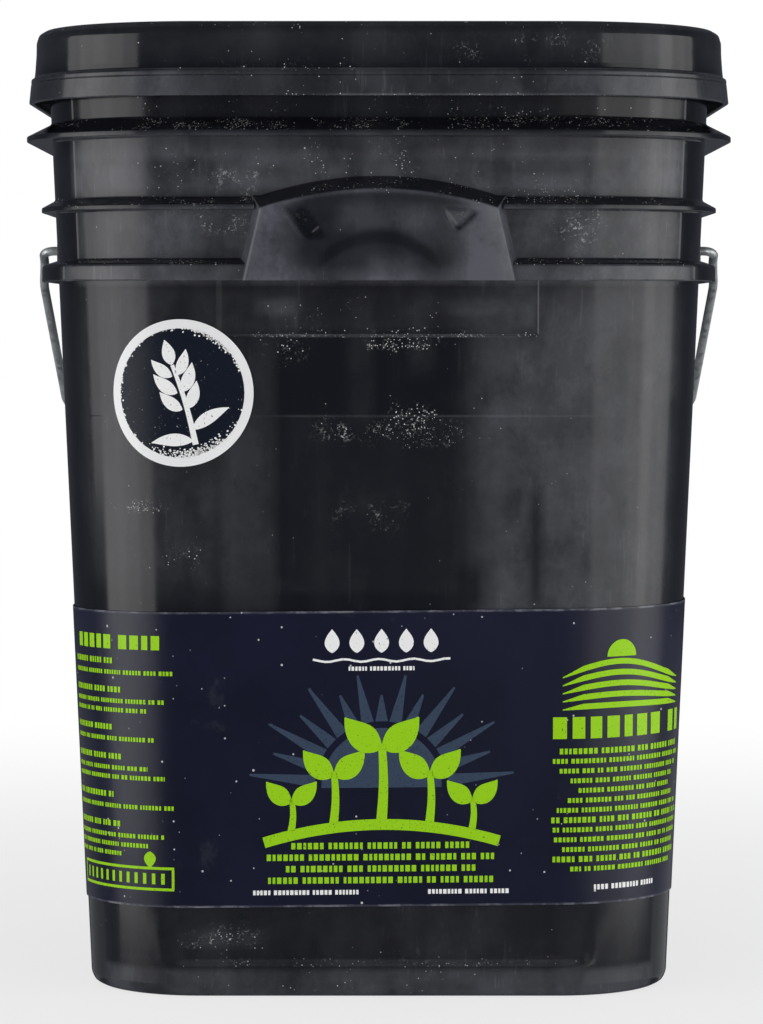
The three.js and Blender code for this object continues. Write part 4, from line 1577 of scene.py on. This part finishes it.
@dataclass(frozen=True)
class Bail:
    """The wire bail and the roller that turns on it.

    In the bail's own plane, X runs along the pivot and the legs run along +Y; the plane is then
    turned down by the rest angle about the pivot.
    """

    pivot: float = 275.5
    rest_angle: float = 24.5
    wire: float = 1.75
    eye_x: float = 131.5
    eye_bend: float = 4.5
    leg_x: float = 133.6
    splay_end: float = 36.0
    leg_length: float = 168.0
    corner_bend: float = 25.0
    pin_inner: float = 120.3
    head: Pair = (3.1, 2.0)
    roller_radius: float = 11.0
    roller_length: float = 90.0
    roller_bore: float = 2.1
    roller_ridges: int = 20
    sides: int = 20

    def turned(self, points: Array) -> Array:
        """Points of the bail's own plane, turned down by the rest angle and lifted to the pivot."""
        angle = np.radians(-self.rest_angle)
        x, y, z = points[..., 0], points[..., 1], points[..., 2]
        return np.stack([
            x,
            y * np.cos(angle) - z * np.sin(angle),
            y * np.sin(angle) + z * np.cos(angle) + self.pivot,
        ], axis=-1)

    def route(self) -> Array:
        """The wire's middle line: pin, eye bend, leg and corner bend, mirrored for the other half.

        From the eye the leg splays out by a smooth step, so that it passes the upper rib.
        """
        quarter = np.radians(np.linspace(0, 90, 17))
        eye = np.stack([
            self.eye_x - self.eye_bend + self.eye_bend * np.sin(quarter),
            self.eye_bend * (1 - np.cos(quarter)),
        ], axis=1)
        corner = np.stack([
            self.leg_x - self.corner_bend * (1 - np.cos(quarter)),
            self.leg_length - self.corner_bend * (1 - np.sin(quarter)),
        ], axis=1)
        down = np.concatenate([
            np.linspace(self.eye_bend + 1.5, self.splay_end, 12),
            np.linspace(self.splay_end, self.leg_length - self.corner_bend - 2, 18)[1:],
        ])
        splay = smooth(self.eye_bend, self.splay_end, down)
        leg = np.stack([self.eye_x + (self.leg_x - self.eye_x) * splay, down], axis=1)
        head_end = self.pin_inner + self.head[1]
        pin_x = [self.pin_inner, self.pin_inner + 0.3, head_end - 0.3, head_end, head_end + 0.3]
        pin = np.stack([np.array(pin_x), np.zeros(len(pin_x))], axis=1)
        bar_x = spread(self.leg_x - self.corner_bend - 4, 4.0, 8.0)
        bar = np.stack([bar_x, np.full(len(bar_x), self.leg_length)], axis=1)
        right = np.concatenate([pin, eye, leg, corner, bar])
        left = right[::-1] * np.array([-1.0, 1.0])
        flat = np.concatenate([right, left])
        return np.concatenate([flat, np.zeros((len(flat), 1))], axis=1)

    def wire_mesh(self) -> MeshData:
        """The wire: a circle carried along its route, wider at the two upset heads."""
        route = self.route()
        ahead = np.gradient(route, axis=0)
        ahead /= np.linalg.norm(ahead, axis=1, keepdims=True)
        up = np.array([0.0, 0.0, 1.0])
        aside = np.cross(up, ahead)
        head_radius, _ = self.head
        ends = np.array([head_radius - 0.3, head_radius, head_radius, head_radius - 0.3, self.wire])
        radius = np.full(len(route), self.wire)
        radius[:5], radius[-5:] = ends, ends[::-1]
        angle = full_turn(self.sides)
        ring = np.cos(angle)[None, :, None] * aside[:, None, :] + np.sin(angle)[None, :, None] * up
        points = route[:, None, :] + ring * radius[:, None, None]
        points = self.turned(points)[:, ::-1]
        return turned_mesh(points, self.turned(route[0]), self.turned(route[-1]))

    def roller_mesh(self) -> MeshData:
        """The roller: a turned profile whose outside is fluted along its length.

        Formula: the radius of the outer face is the profile's, less a rounded groove for each
        ridge that fades out towards the smooth collars at the ends.
        """
        half, radius, bore = self.roller_length / 2, self.roller_radius, self.roller_bore
        collar = (
            (bore, half - 10.0, 0.0), (bore, half, 0.3), (radius, half, 1.8),
            (radius, half - 6.5, 0.8), (radius - 1.0, half - 8.5, 1.0),
        )
        mirrored = [(reach, -z, fillet) for reach, z, fillet in collar]
        profile = rounded_profile(corners(*mirrored, (radius - 0.3, 0.0, 20.0), *collar[::-1]), 4.0)
        angle = full_turn(self.roller_ridges * 8)
        wave = np.abs(np.sin(angle * self.roller_ridges / 2)) ** 1.5
        fluted = smooth(half - 9.0, half - 13.0, np.abs(profile[:, 1])) * (profile[:, 0] > bore + 3)
        reach = profile[:, :1] - 0.9 * fluted[:, None] * (1 - wave)
        along = profile[:, 1:] * np.ones(len(angle))
        points = np.stack([
            along,
            self.leg_length + reach * np.cos(angle),
            reach * np.sin(angle),
        ], axis=2)
        rows, columns = points.shape[:2]
        placed = self.turned(points)
        return MeshData(placed.reshape(-1, 3), grid_quads(rows, columns, True, True))

    def build(self, steel: Material, plastic: Material) -> None:
        """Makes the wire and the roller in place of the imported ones."""
        wire = write_piece("bail_wire_bent", self.wire_mesh(), steel, Shading.MOULDED)
        mount_piece(wire, "bail", ["bail_wire"])
        roller = write_piece("roller_grip", self.roller_mesh(), plastic, Shading.MOULDED)
        mount_piece(roller, "grip", ["bail_grip"])


# ---- printed film


class Ink(Enum):
    """The inks, from the lowest layer up: how far each stands off the film."""

    SLATE = 0.06
    NIGHT = 0.08
    LIME = 0.11
    WHITE = 0.14


@dataclass
class PrintSheet:
    """Printed shapes on a film that follows the wall, gathered by their ink.

    Args:
        wall: the wall under the film.
        base: how far the film's face stands off the wall.
        origin: the shapes' own zero, along and up.
        tilt: how far the design is turned, anticlockwise.
        skew: how much a place's height rises with its distance along.
    """

    wall: Wall
    base: float
    origin: Pair = (0.0, 0.0)
    tilt: float = 0.0
    skew: float = 0.0
    patches: dict[Ink, list[MeshData]] = field(default_factory=dict)

    def lay(self, ink: Ink, along: Array, z: Array) -> None:
        """Prints one patch, a grid of places in the design's own plane.

        Args:
            ink: the ink.
            along: (rows, columns) places across.
            z: (rows, columns) places up.
        """
        turn = np.radians(self.tilt)
        across = self.origin[0] + along * np.cos(turn) - z * np.sin(turn)
        up = self.origin[1] + along * np.sin(turn) + z * np.cos(turn) + self.skew * across
        outer = self.wall.point(across, up, self.base + ink.value)
        inner = self.wall.point(across, up, self.base + 0.01)
        self.patches.setdefault(ink, []).append(film_mesh(outer, inner))

    def disc(self, ink: Ink, x: float, z: float, radius: float) -> None:
        """A disc about its middle."""
        turn = np.radians(np.linspace(-88, 88, 25))
        along, half = radius * np.sin(turn), radius * np.cos(turn)
        share = np.linspace(-1, 1, max(2, int(radius / 2.5) + 2))[:, None]
        self.lay(ink, x + np.broadcast_to(along, (len(share), len(along))), z + share * half)

    def dot(self, ink: Ink, x: float, z: float, radius: float) -> None:
        """A small eight-sided chip about its middle."""
        turn = np.radians(np.array([-80.0, -30.0, 30.0, 80.0]))
        along, half = radius * np.sin(turn), radius * np.cos(turn)
        self.lay(ink, np.stack([x + along, x + along]), np.stack([z - half, z + half]))

    def ribbon(self, ink: Ink, x: Array, z: Array, width: Array | float) -> None:
        """A strip along a line, its width square to the line."""
        line = np.stack([np.asarray(x, dtype=float), np.asarray(z, dtype=float)], axis=1)
        ahead = np.gradient(line, axis=0)
        ahead /= np.linalg.norm(ahead, axis=1, keepdims=True)
        aside = np.stack([ahead[:, 1], -ahead[:, 0]], axis=1)
        half = (np.broadcast_to(width, (len(line),)) / 2)[:, None]
        right, left = line + aside * half, line - aside * half
        self.lay(ink, np.stack([right[:, 0], left[:, 0]]), np.stack([right[:, 1], left[:, 1]]))

    def leaf(
        self, ink: Ink, foot: Pair, angle: float, length: float, width: float, curl: float = 0.0
    ) -> None:
        """A leaf from its foot: its line turns by the curl, and its width swells and closes."""
        t = np.linspace(0.0, 1.0, 19)
        heading = np.radians(angle + curl * t)
        step = length * np.gradient(t)
        line_x = foot[0] + np.cumsum(step * np.cos(heading)) - step[0] * np.cos(heading[0])
        line_z = foot[1] + np.cumsum(step * np.sin(heading)) - step[0] * np.sin(heading[0])
        swell = width * np.maximum(np.sin(np.pi * t**0.8) ** 0.9, 0.05)
        self.ribbon(ink, line_x, line_z, swell)

    def words(
        self, ink: Ink, x: float, z: float, width: float, height: float, seed: int, anchor: float = 0.5
    ) -> None:
        """Groups of small upright blocks, as a line of small print looks from afar.

        Args:
            ink: the ink.
            x: the line's anchor.
            z: the line's middle height.
            width: the line's length.
            height: the blocks' height.
            seed: what the groups and blocks are drawn from.
            anchor: 0 where the line starts at x, 0.5 where it is centred, 1 where it ends there.
        """
        draw = np.random.default_rng(seed)
        left, place = x - anchor * width, 0.0
        while place < width - 0.5 * height:
            for _ in range(int(draw.integers(2, 10))):
                block = min(float(draw.uniform(0.42, 0.74)) * height, width - place)
                if block > 0.2 * height:
                    corner = np.array([[place, place + block]] * 2)
                    self.lay(ink, left + corner, z + np.array([[-0.5, -0.5], [0.5, 0.5]]) * height)
                place += block + 0.26 * height
            place += 0.5 * height

    def build(self, prefix: str, slot: str, materials: dict[Ink, Material]) -> None:
        """Makes one piece of each ink that was used.

        Args:
            prefix: the start of the pieces' names.
            slot: not used.
            materials: each ink's material.
        """
        for ink, patches in self.patches.items():
            name = f"{prefix}_{ink.name.lower()}"
            piece = write_piece(name, join(patches), materials[ink], Shading.FILM)
            mount_piece(piece, "pail")


@dataclass(frozen=True)
class WrapLabel:
    """The wrap label: a navy film all the way round, a little crooked, lapped at the back.

    Args:
        bottom: its lower edge on the front's middle.
        top: its upper edge there.
        gap: how far its inner face stands off the wall.
        skew: how much it rises with the distance along.
        lap: how far its ends overlap.
        rows: each seedling's place from the middle, its height and its size.
    """

    wall: Wall
    bottom: float = 34.0
    top: float = 142.9
    gap: float = 0.3
    thickness: float = 0.3
    skew: float = 0.009
    lap: float = 9.0
    rows: tuple[Triple, ...] = (
        (-33.0, 12.0, 0.78), (-17.5, 19.0, 0.95), (0.0, 28.0, 1.15), (17.5, 19.0, 0.95), (33.0, 12.0, 0.78),
    )

    def mesh(self) -> MeshData:
        """The film: a strip round the wall whose last stretch lies over its first.

        Formula: even steps along and up; the lift rises by a film's thickness where the ends overlap.
        """
        share = np.linspace(0.0, 1.0, 380)
        up = np.linspace(0.0, 1.0, 15)
        share, up = np.meshgrid(share, up)
        z = self.bottom + up * (self.top - self.bottom)
        round_once = self.wall.perimeter(z, self.gap)
        along = share * (round_once + self.lap) - round_once / 2
        over = self.thickness * 1.1 * smooth(-12.0, -2.0, along - (round_once / 2 - self.lap))
        past = along > round_once / 2
        place = np.where(past, along - round_once, along)
        height = z + self.skew * along
        outer = self.wall.point(place, height, self.gap + self.thickness + over)
        inner = self.wall.point(place, height, self.gap + over)
        return film_mesh(outer, inner)

    def decorate(self, sheet: PrintSheet) -> None:
        """Prints the design: a row of seedlings before a rising sun, notes, a dial strip, a field."""
        self.sun(sheet)
        self.seedlings(sheet)
        self.front_notes(sheet)
        self.left_column(sheet)
        self.right_column(sheet)

    def sun(self, sheet: PrintSheet) -> None:
        """The slate sun: a half disc with long and short tapering rays."""
        middle, floor, radius = 1.0, 78.0, 22.0
        turn = np.linspace(-1.0, 1.0, 41) * np.pi / 2
        rows = np.linspace(0.0, 1.0, 9)[:, None]
        across = middle + np.broadcast_to(radius * np.sin(turn), (len(rows), len(turn)))
        sheet.lay(Ink.SLATE, across, floor + rows * np.maximum(radius * np.cos(turn), 0.05))
        for number, angle in enumerate(np.linspace(6, 174, 15)):
            end = 40.5 if number % 2 == 0 else 34.0
            turn = np.radians(angle)
            reach = np.linspace(radius + 2.4, end + 8.0 * abs(np.cos(turn)), 9)
            width = np.linspace(4.6, 0.8, 9)
            sheet.ribbon(Ink.SLATE, middle + reach * np.cos(turn), floor + reach * np.sin(turn), width)

    def seedlings(self, sheet: PrintSheet) -> None:
        """Five lime seedlings on a mound, the middle one tallest, under a row of white seeds."""
        stem, bend = np.linspace(0, 1, 12), 0.0035
        for place, height, size in self.rows:
            foot = 66.0 - bend * place**2
            wave = 1.0 + place + 0.7 * np.sin(3 * stem)
            sheet.ribbon(Ink.LIME, wave, foot + height * stem, (3.4 - 1.0 * stem) * size)
            for side in (-1, 1):
                head = (wave[-1], foot + height - 1.4)
                sheet.leaf(Ink.LIME, head, 90 - 68 * side, 15.5 * size, 8.8 * size, 34 * side)
        mound = np.linspace(-43, 43, 34)
        sheet.ribbon(Ink.LIME, 1.0 + mound, 64.4 - bend * mound**2, 4.0)
        for place in np.linspace(-17.0, 19.0, 5):
            sheet.leaf(Ink.WHITE, (place, 127.6), 90, 8.6, 5.4)
        rule = np.linspace(-24.0, 26.0, 24)
        sheet.ribbon(Ink.WHITE, rule, 124.8 + 0.5 * np.cos(rule * 0.5), 0.8)
        sheet.words(Ink.WHITE, 1.0, 121.8, 24.0, 1.5, 31)

    def front_notes(self, sheet: PrintSheet) -> None:
        """Four lime lines under the seedlings and two short white ones at the foot."""
        for row, width in enumerate((66.0, 84.0, 70.0, 83.0)):
            sheet.words(Ink.LIME, 1.0, 56.6 - 4.25 * row, width, 2.35, 40 + row)
        sheet.words(Ink.WHITE, -46.0, 39.4, 39.0, 1.7, 51, 0.0)
        sheet.words(Ink.WHITE, 48.0, 39.4, 30.0, 1.7, 52, 1.0)

    def left_column(self, sheet: PrintSheet) -> None:
        """A heading, six short notes, and an outlined dial strip; it runs on round the corner."""
        start, end = -128.0, -74.0
        sheet.words(Ink.LIME, end, 131.5, 50.0, 5.2, 61, 1.0)
        for row, lines in enumerate((1, 2, 1, 2, 1, 3)):
            z = 124.5 - (0.0, 10.6, 24.6, 35.4, 49.6, 60.4)[row]
            sheet.words(Ink.LIME, start, z, 27.0 + 4.0 * (row % 2), 2.1, 70 + row, 0.0)
            for line in range(lines):
                width = 53.0 - 3.4 * ((row + 2 * line) % 4) - (17.0 if line == 2 else 0.0)
                sheet.words(Ink.LIME, start, z - 4.2 - 3.4 * line, width, 1.6, 80 + 4 * row + line, 0.0)
        left, right, low, high = -124.0, -75.0, 40.6, 48.4
        line = spread(left, right, 2.5)
        for z in (low, high):
            sheet.ribbon(Ink.LIME, line, np.full(len(line), z), 1.0)
        for x in (left + 0.4, right - 0.4):
            sheet.ribbon(Ink.LIME, np.full(4, x), np.linspace(low, high, 4), 1.0)
        for x in np.arange(left + 4.0, right - 2.0, 3.7):
            sheet.ribbon(Ink.LIME, np.full(3, x), np.linspace(low + 1.9, high - 1.9, 3), 1.4)
        sheet.leaf(Ink.LIME, (-84.5, 54.6), -90, 6.2, 4.8)

    def right_column(self, sheet: PrintSheet) -> None:
        """A ploughed field under a half sun, a heading, and thirteen centred lines."""
        middle = 95.0
        field = np.linspace(-28, 28, 30)
        for row in range(5):
            lower = 105.8 + 3.2 * row + (0.4 + 0.8 * row) * np.cos(field * 0.085 + 0.5)
            taper = np.clip((29.5 - np.abs(field)) / 9.0, 0.15, 1.0)
            sheet.lay(Ink.LIME, middle + np.stack([field, field]), np.stack([lower, lower + 2.1 * taper]))
        turn = np.radians(np.linspace(178, 2, 23))
        radius, floor = 6.2, 125.0
        sun_x, sun_z = middle - 5.0 + radius * np.cos(turn), floor + radius * np.sin(turn)
        sheet.lay(Ink.LIME, np.stack([sun_x, sun_x]), np.stack([np.full_like(sun_z, floor), sun_z]))
        sheet.words(Ink.LIME, middle, 99.2, 63.0, 8.0, 90)
        widths = (58.0, 63.0, 58.0, 50.0, 44.0, 52.0, 60.0, 64.0, 63.0, 62.0, 56.0, 63.0, 50.0)
        for row, width in enumerate(widths):
            bold = 2.1 if row in (0, 7, 11) else 1.75
            sheet.words(Ink.LIME, middle, 90.6 - 3.62 * row, width, bold, 100 + row)
        sheet.words(Ink.WHITE, middle - 2.0, 40.2, 28.0, 1.9, 120)

    def build(self, film: Material, inks: dict[Ink, Material]) -> None:
        """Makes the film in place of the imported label, and its print."""
        piece = write_piece("wrap_label_film", self.mesh(), film, Shading.FILM)
        mount_piece(piece, "pail", ["wrap_label"])
        sheet = PrintSheet(self.wall, self.gap + self.thickness, skew=self.skew)
        self.decorate(sheet)
        sheet.build("label_print", "label_film", inks)


@dataclass(frozen=True)
class RoundSticker:
    """The round sticker on the upper left of the front: a white film with a dark printed field.

    Args:
        along: its middle, along the wall.
        z: its middle's height.
        gap: how far its inner face stands off the wall.
        tilt: how far the print is turned, anticlockwise.
        field: the dark field's radius.
        worn: worn stretches of the field's edge: middle angle, spread, the chips' depth and count.
    """

    wall: Wall
    along: float = -72.0
    z: float = 222.0
    radius: float = 26.7
    gap: float = 0.3
    thickness: float = 0.3
    tilt: float = 17.0
    field: float = 23.4
    worn: tuple[tuple[float, float, float, int], ...] = (
        (-88, 22, 1.5, 260), (40, 16, 0.8, 100), (158, 40, 0.4, 50),
    )

    def mesh(self) -> MeshData:
        """The film: a disc laid out in its own plane as a squeezed square grid, bent on the wall.

        Formula: a point of the square from -1 to 1 both ways moves in by the root of one less half the
        square of the other way.
        """
        step = np.sin(np.linspace(-np.pi / 2, np.pi / 2, 49)) * 0.5 + np.linspace(-1, 1, 49) * 0.5
        up, across = np.meshgrid(step, step, indexing="ij")
        x = self.along + self.radius * across * np.sqrt(1 - up**2 / 2)
        z = self.z + self.radius * up * np.sqrt(1 - across**2 / 2)
        outer = self.wall.point(x, z, self.gap + self.thickness)
        inner = self.wall.point(x, z, self.gap)
        return film_mesh(outer, inner)

    def decorate(self, sheet: PrintSheet) -> None:
        """Prints the dark field, a tilted white ear of grain on it, and the field's worn edge."""
        sheet.disc(Ink.NIGHT, 0.0, 0.0, self.field)
        stem = np.linspace(0.0, 1.0, 14)
        sheet.ribbon(Ink.WHITE, 0.9 * np.sin(2.8 * stem), -19.5 + 30.0 * stem, 2.2 - 0.8 * stem)
        for row, size in enumerate((1.0, 1.06, 0.94)):
            for side in (-1, 1):
                foot = (0.9 * side, 6.3 * row - 6.0)
                sheet.leaf(Ink.WHITE, foot, 90 - 52 * side, 10.6 * size, 4.5 * size, 30 * side)
        sheet.leaf(Ink.WHITE, (0.2, 10.6), 90, 9.4, 4.8)
        for side, height in ((-1, -18.0), (1, -14.0)):
            sheet.leaf(Ink.WHITE, (0.6 * side, height), 90 - 64 * side, 15.5, 4.6, -22 * side)
        self.wear_edge(sheet)

    def wear_edge(self, sheet: PrintSheet) -> None:
        """Chips the dark field's edge with small dots.

        Formula: a dot's angle is drawn round the middle of a worn stretch, and its depth inside the
        edge is the size of another draw, so that dots thin out inwards.
        """
        draw = np.random.default_rng(7)
        for middle, breadth, depth, count in self.worn:
            for _ in range(count):
                turn = np.radians(draw.normal(middle, breadth))
                reach = self.field + 0.1 - abs(draw.normal(0.0, depth))
                sheet.dot(Ink.WHITE, reach * np.cos(turn), reach * np.sin(turn), draw.uniform(0.14, 0.42))

    def build(self, film: Material, inks: dict[Ink, Material]) -> None:
        """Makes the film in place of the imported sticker, and its print."""
        piece = write_piece("round_sticker_film", self.mesh(), film, Shading.FILM)
        mount_piece(piece, "pail", ["round_sticker"])
        sheet = PrintSheet(self.wall, self.gap + self.thickness, (self.along, self.z), self.tilt)
        self.decorate(sheet)
        sheet.build("sticker_print", "sticker_film", inks)


# ---- studio


@dataclass(frozen=True)
class SoftBox:
    """A soft area light that faces the pail; metres and degrees.

    Args:
        azimuth: where it stands, from the front (-Y) towards +X.
        distance: how far it is from the axis.
        height: how high its middle is.
        width: how wide it is.
        tall: how tall it is.
        radiance: how bright its face is, where white paper in daylight would be 1.
    """

    name: str
    azimuth: float
    distance: float
    height: float
    width: float
    tall: float
    radiance: float
    colour: Triple = (1.0, 1.0, 1.0)

    def build(self, target: Vector) -> None:
        """Adds the light, turned towards the target."""
        data = bpy.data.lights.new(self.name, "AREA")
        data.shape = "RECTANGLE"
        data.size = self.width
        data.size_y = self.tall
        data.energy = self.radiance * np.pi * self.width * self.tall
        data.color = self.colour
        light = bpy.data.objects.new(self.name, data)
        turn = np.radians(self.azimuth)
        light.location = (self.distance * np.sin(turn), -self.distance * np.cos(turn), self.height)
        level = Vector((target.x, target.y, self.height))
        light.rotation_euler = (level - light.location).to_track_quat("-Z", "Y").to_euler()
        light.visible_camera = False
        bpy.context.scene.collection.objects.link(light)


@dataclass(frozen=True)
class Studio:
    """A pale floor, soft boxes at either side, dim cards, the surround, and the camera."""

    floor_radius: float = 3.0
    camera_distance: float = 1.513
    camera_pitch: float = 2.78
    camera_target: float = 0.1732
    lens: float = 135.35
    sideways: float = 0.0026
    boxes: tuple[SoftBox, ...] = (
        SoftBox("box_left", -70.7, 1.50, 0.455, 1.64, 0.83, 1.15, (1.0, 0.99, 0.98)),
        SoftBox("box_left_low", -64.0, 1.50, -0.13, 1.33, 0.34, 1.28, (1.0, 0.99, 0.98)),
        SoftBox("box_left_middle", -69.5, 1.47, 0.24, 0.92, 1.04, 0.46, (1.0, 0.97, 0.96)),
        SoftBox("box_left_core", -70.0, 1.44, 0.20, 0.26, 0.90, 0.24, (1.0, 0.97, 0.94)),
        SoftBox("strip_left", -106.0, 1.50, 0.20, 0.13, 0.36, 0.10, (0.66, 0.86, 0.30)),
        SoftBox("box_right", 66.5, 1.50, 0.285, 2.22, 1.17, 1.06, (1.0, 1.0, 0.98)),
        SoftBox("box_right_middle", 76.0, 1.47, 0.28, 0.94, 1.07, 0.36, (1.0, 0.99, 0.96)),
        SoftBox("box_right_core", 76.0, 1.44, 0.28, 0.28, 0.96, 0.72, (1.0, 0.98, 0.95)),
        SoftBox("card_right", 21.0, 1.62, 0.09, 0.85, 0.59, 0.28, (1.0, 1.0, 0.93)),
        SoftBox("low_left", -134.0, 1.50, -0.32, 1.20, 0.50, 0.14),
        SoftBox("low_right", 132.0, 1.50, -0.32, 1.25, 0.50, 0.26),
    )
    surround: tuple[tuple[Triple, float, str], ...] = (
        ((0.96, 0.98, 1.0), 0.42, "Is Diffuse Ray"),
        ((0.86, 0.93, 1.12), 0.065, "Is Glossy Ray"),
        ((1.0, 1.0, 1.0), 1.0, "Is Camera Ray"),
    )

    def floor(self) -> None:
        """The floor: a wide round disc on the ground."""
        count, sides = 12, 96
        rings = np.linspace(0.05, 1.0, count)[:, None] * self.floor_radius / MM
        angle, here = full_turn(sides), np.arange(sides)
        points = np.stack([rings * np.cos(angle), rings * np.sin(angle), np.zeros((count, sides))], axis=2)
        data = MeshData(
            np.concatenate([points.reshape(-1, 3), np.zeros((1, 3))]),
            grid_quads(count, sides, False, True)[:, ::-1],
            np.stack([np.full(sides, count * sides), here, (here + 1) % sides], axis=1),
        )
        floor = write_piece("studio_floor", data, PaleFloor().build(), Shading.SMOOTH)
        floor.visible_glossy = False

    def world(self) -> None:
        """A white surround for the eye, a dim one for light that falls, a darker one for gloss."""
        world = bpy.data.worlds.new("studio_world")
        bpy.context.scene.world = world
        world.use_nodes = True
        tree = world.node_tree
        tree.nodes.clear()
        path = tree.nodes.new("ShaderNodeLightPath")
        shader = None
        for colour, strength, ray in self.surround:
            layer = tree.nodes.new("ShaderNodeBackground")
            layer.inputs["Color"].default_value = rgba(colour)
            layer.inputs["Strength"].default_value = strength
            if shader is not None:
                mix = tree.nodes.new("ShaderNodeMixShader")
                tree.links.new(path.outputs[ray], mix.inputs[0])
                tree.links.new(shader.outputs[0], mix.inputs[1])
                tree.links.new(layer.outputs[0], mix.inputs[2])
                layer = mix
            shader = layer
        output = tree.nodes.new("ShaderNodeOutputWorld")
        tree.links.new(shader.outputs[0], output.inputs["Surface"])

    def camera(self) -> None:
        """The camera: level with the pail's upper half, looking down a little."""
        data = bpy.data.cameras.new("camera")
        data.lens = self.lens
        data.sensor_width = 36.0
        data.shift_x = self.sideways
        data.clip_start = 0.05
        camera = bpy.data.objects.new("camera", data)
        pitch = np.radians(self.camera_pitch)
        target = Vector((0.0, 0.0, self.camera_target))
        back = Vector((0.0, -np.cos(pitch), np.sin(pitch))) * self.camera_distance
        camera.location = target + back
        camera.rotation_euler = (-back).to_track_quat("-Z", "Y").to_euler()
        bpy.context.scene.collection.objects.link(camera)
        bpy.context.scene.camera = camera

    def build(self) -> None:
        """Sets up the whole studio."""
        self.camera()
        self.floor()
        self.world()
        for box in self.boxes:
            box.build(Vector((0.0, 0.0, 0.2)))
        bpy.context.scene.view_settings.view_transform = "Standard"
        bpy.context.scene.view_settings.look = "None"


# ---- the pail


LABEL_FILM = PrintedFilm(
    "label_navy", (0.0068, 0.0088, 0.031), (0.0046, 0.0062, 0.022), (0.34, 0.35, 0.40), 0.006, 0.075
)
STICKER_FILM = PrintedFilm(
    "sticker_white", (0.93, 0.93, 0.94), (0.88, 0.88, 0.89), (0.90, 0.90, 0.90), 0.0, 0.0
)


def ink_materials() -> dict[Ink, Material]:
    """The inks' materials."""
    return {
        Ink.SLATE: PrintInk("ink_slate", (0.040, 0.065, 0.112), (0.020, 0.033, 0.062), 0.5).build(),
        Ink.NIGHT: PrintInk("ink_night", (0.0060, 0.0092, 0.020), (0.50, 0.51, 0.53), 0.0).build(),
        Ink.LIME: PrintInk("ink_lime", (0.33, 0.68, 0.001), (0.09, 0.19, 0.01), 0.3).build(),
        Ink.WHITE: PrintInk("ink_white", (0.93, 0.93, 0.93), (0.16, 0.17, 0.21), 0.25).build(),
    }


def dress_packed_nodes() -> None:
    """Gives the gasket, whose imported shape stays, its foam."""
    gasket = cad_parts["lid_gasket"]
    gasket.data.materials.clear()
    gasket.data.materials.append(ClosedCellFoam().build())


def main() -> None:
    """Builds the studio and the pail, piece by piece."""
    logging.basicConfig(level=logging.INFO, format="%(message)s")
    Studio().build()
    wall = Wall()
    body_plastic = MouldedPolyethylene("pail_polyethylene").build()
    PailShell(wall).build(body_plastic)
    HandGrip(wall).build(MouldedPolyethylene("grip_polyethylene", haze_and_painted_light=(0.099, 0.102, 0.123)).build())
    BailEar(wall.plan).build(body_plastic)
    PressFitLid(wall.plan).build(MouldedPolyethylene("lid_polyethylene", roughness=0.10).build())
    dress_packed_nodes()
    Bail().build(GalvanisedWire().build(), RollerPlastic().build())
    inks = ink_materials()
    WrapLabel(wall).build(LABEL_FILM.build(), inks)
    RoundSticker(wall).build(STICKER_FILM.build(), inks)


if __name__ == "__main__":
    main()
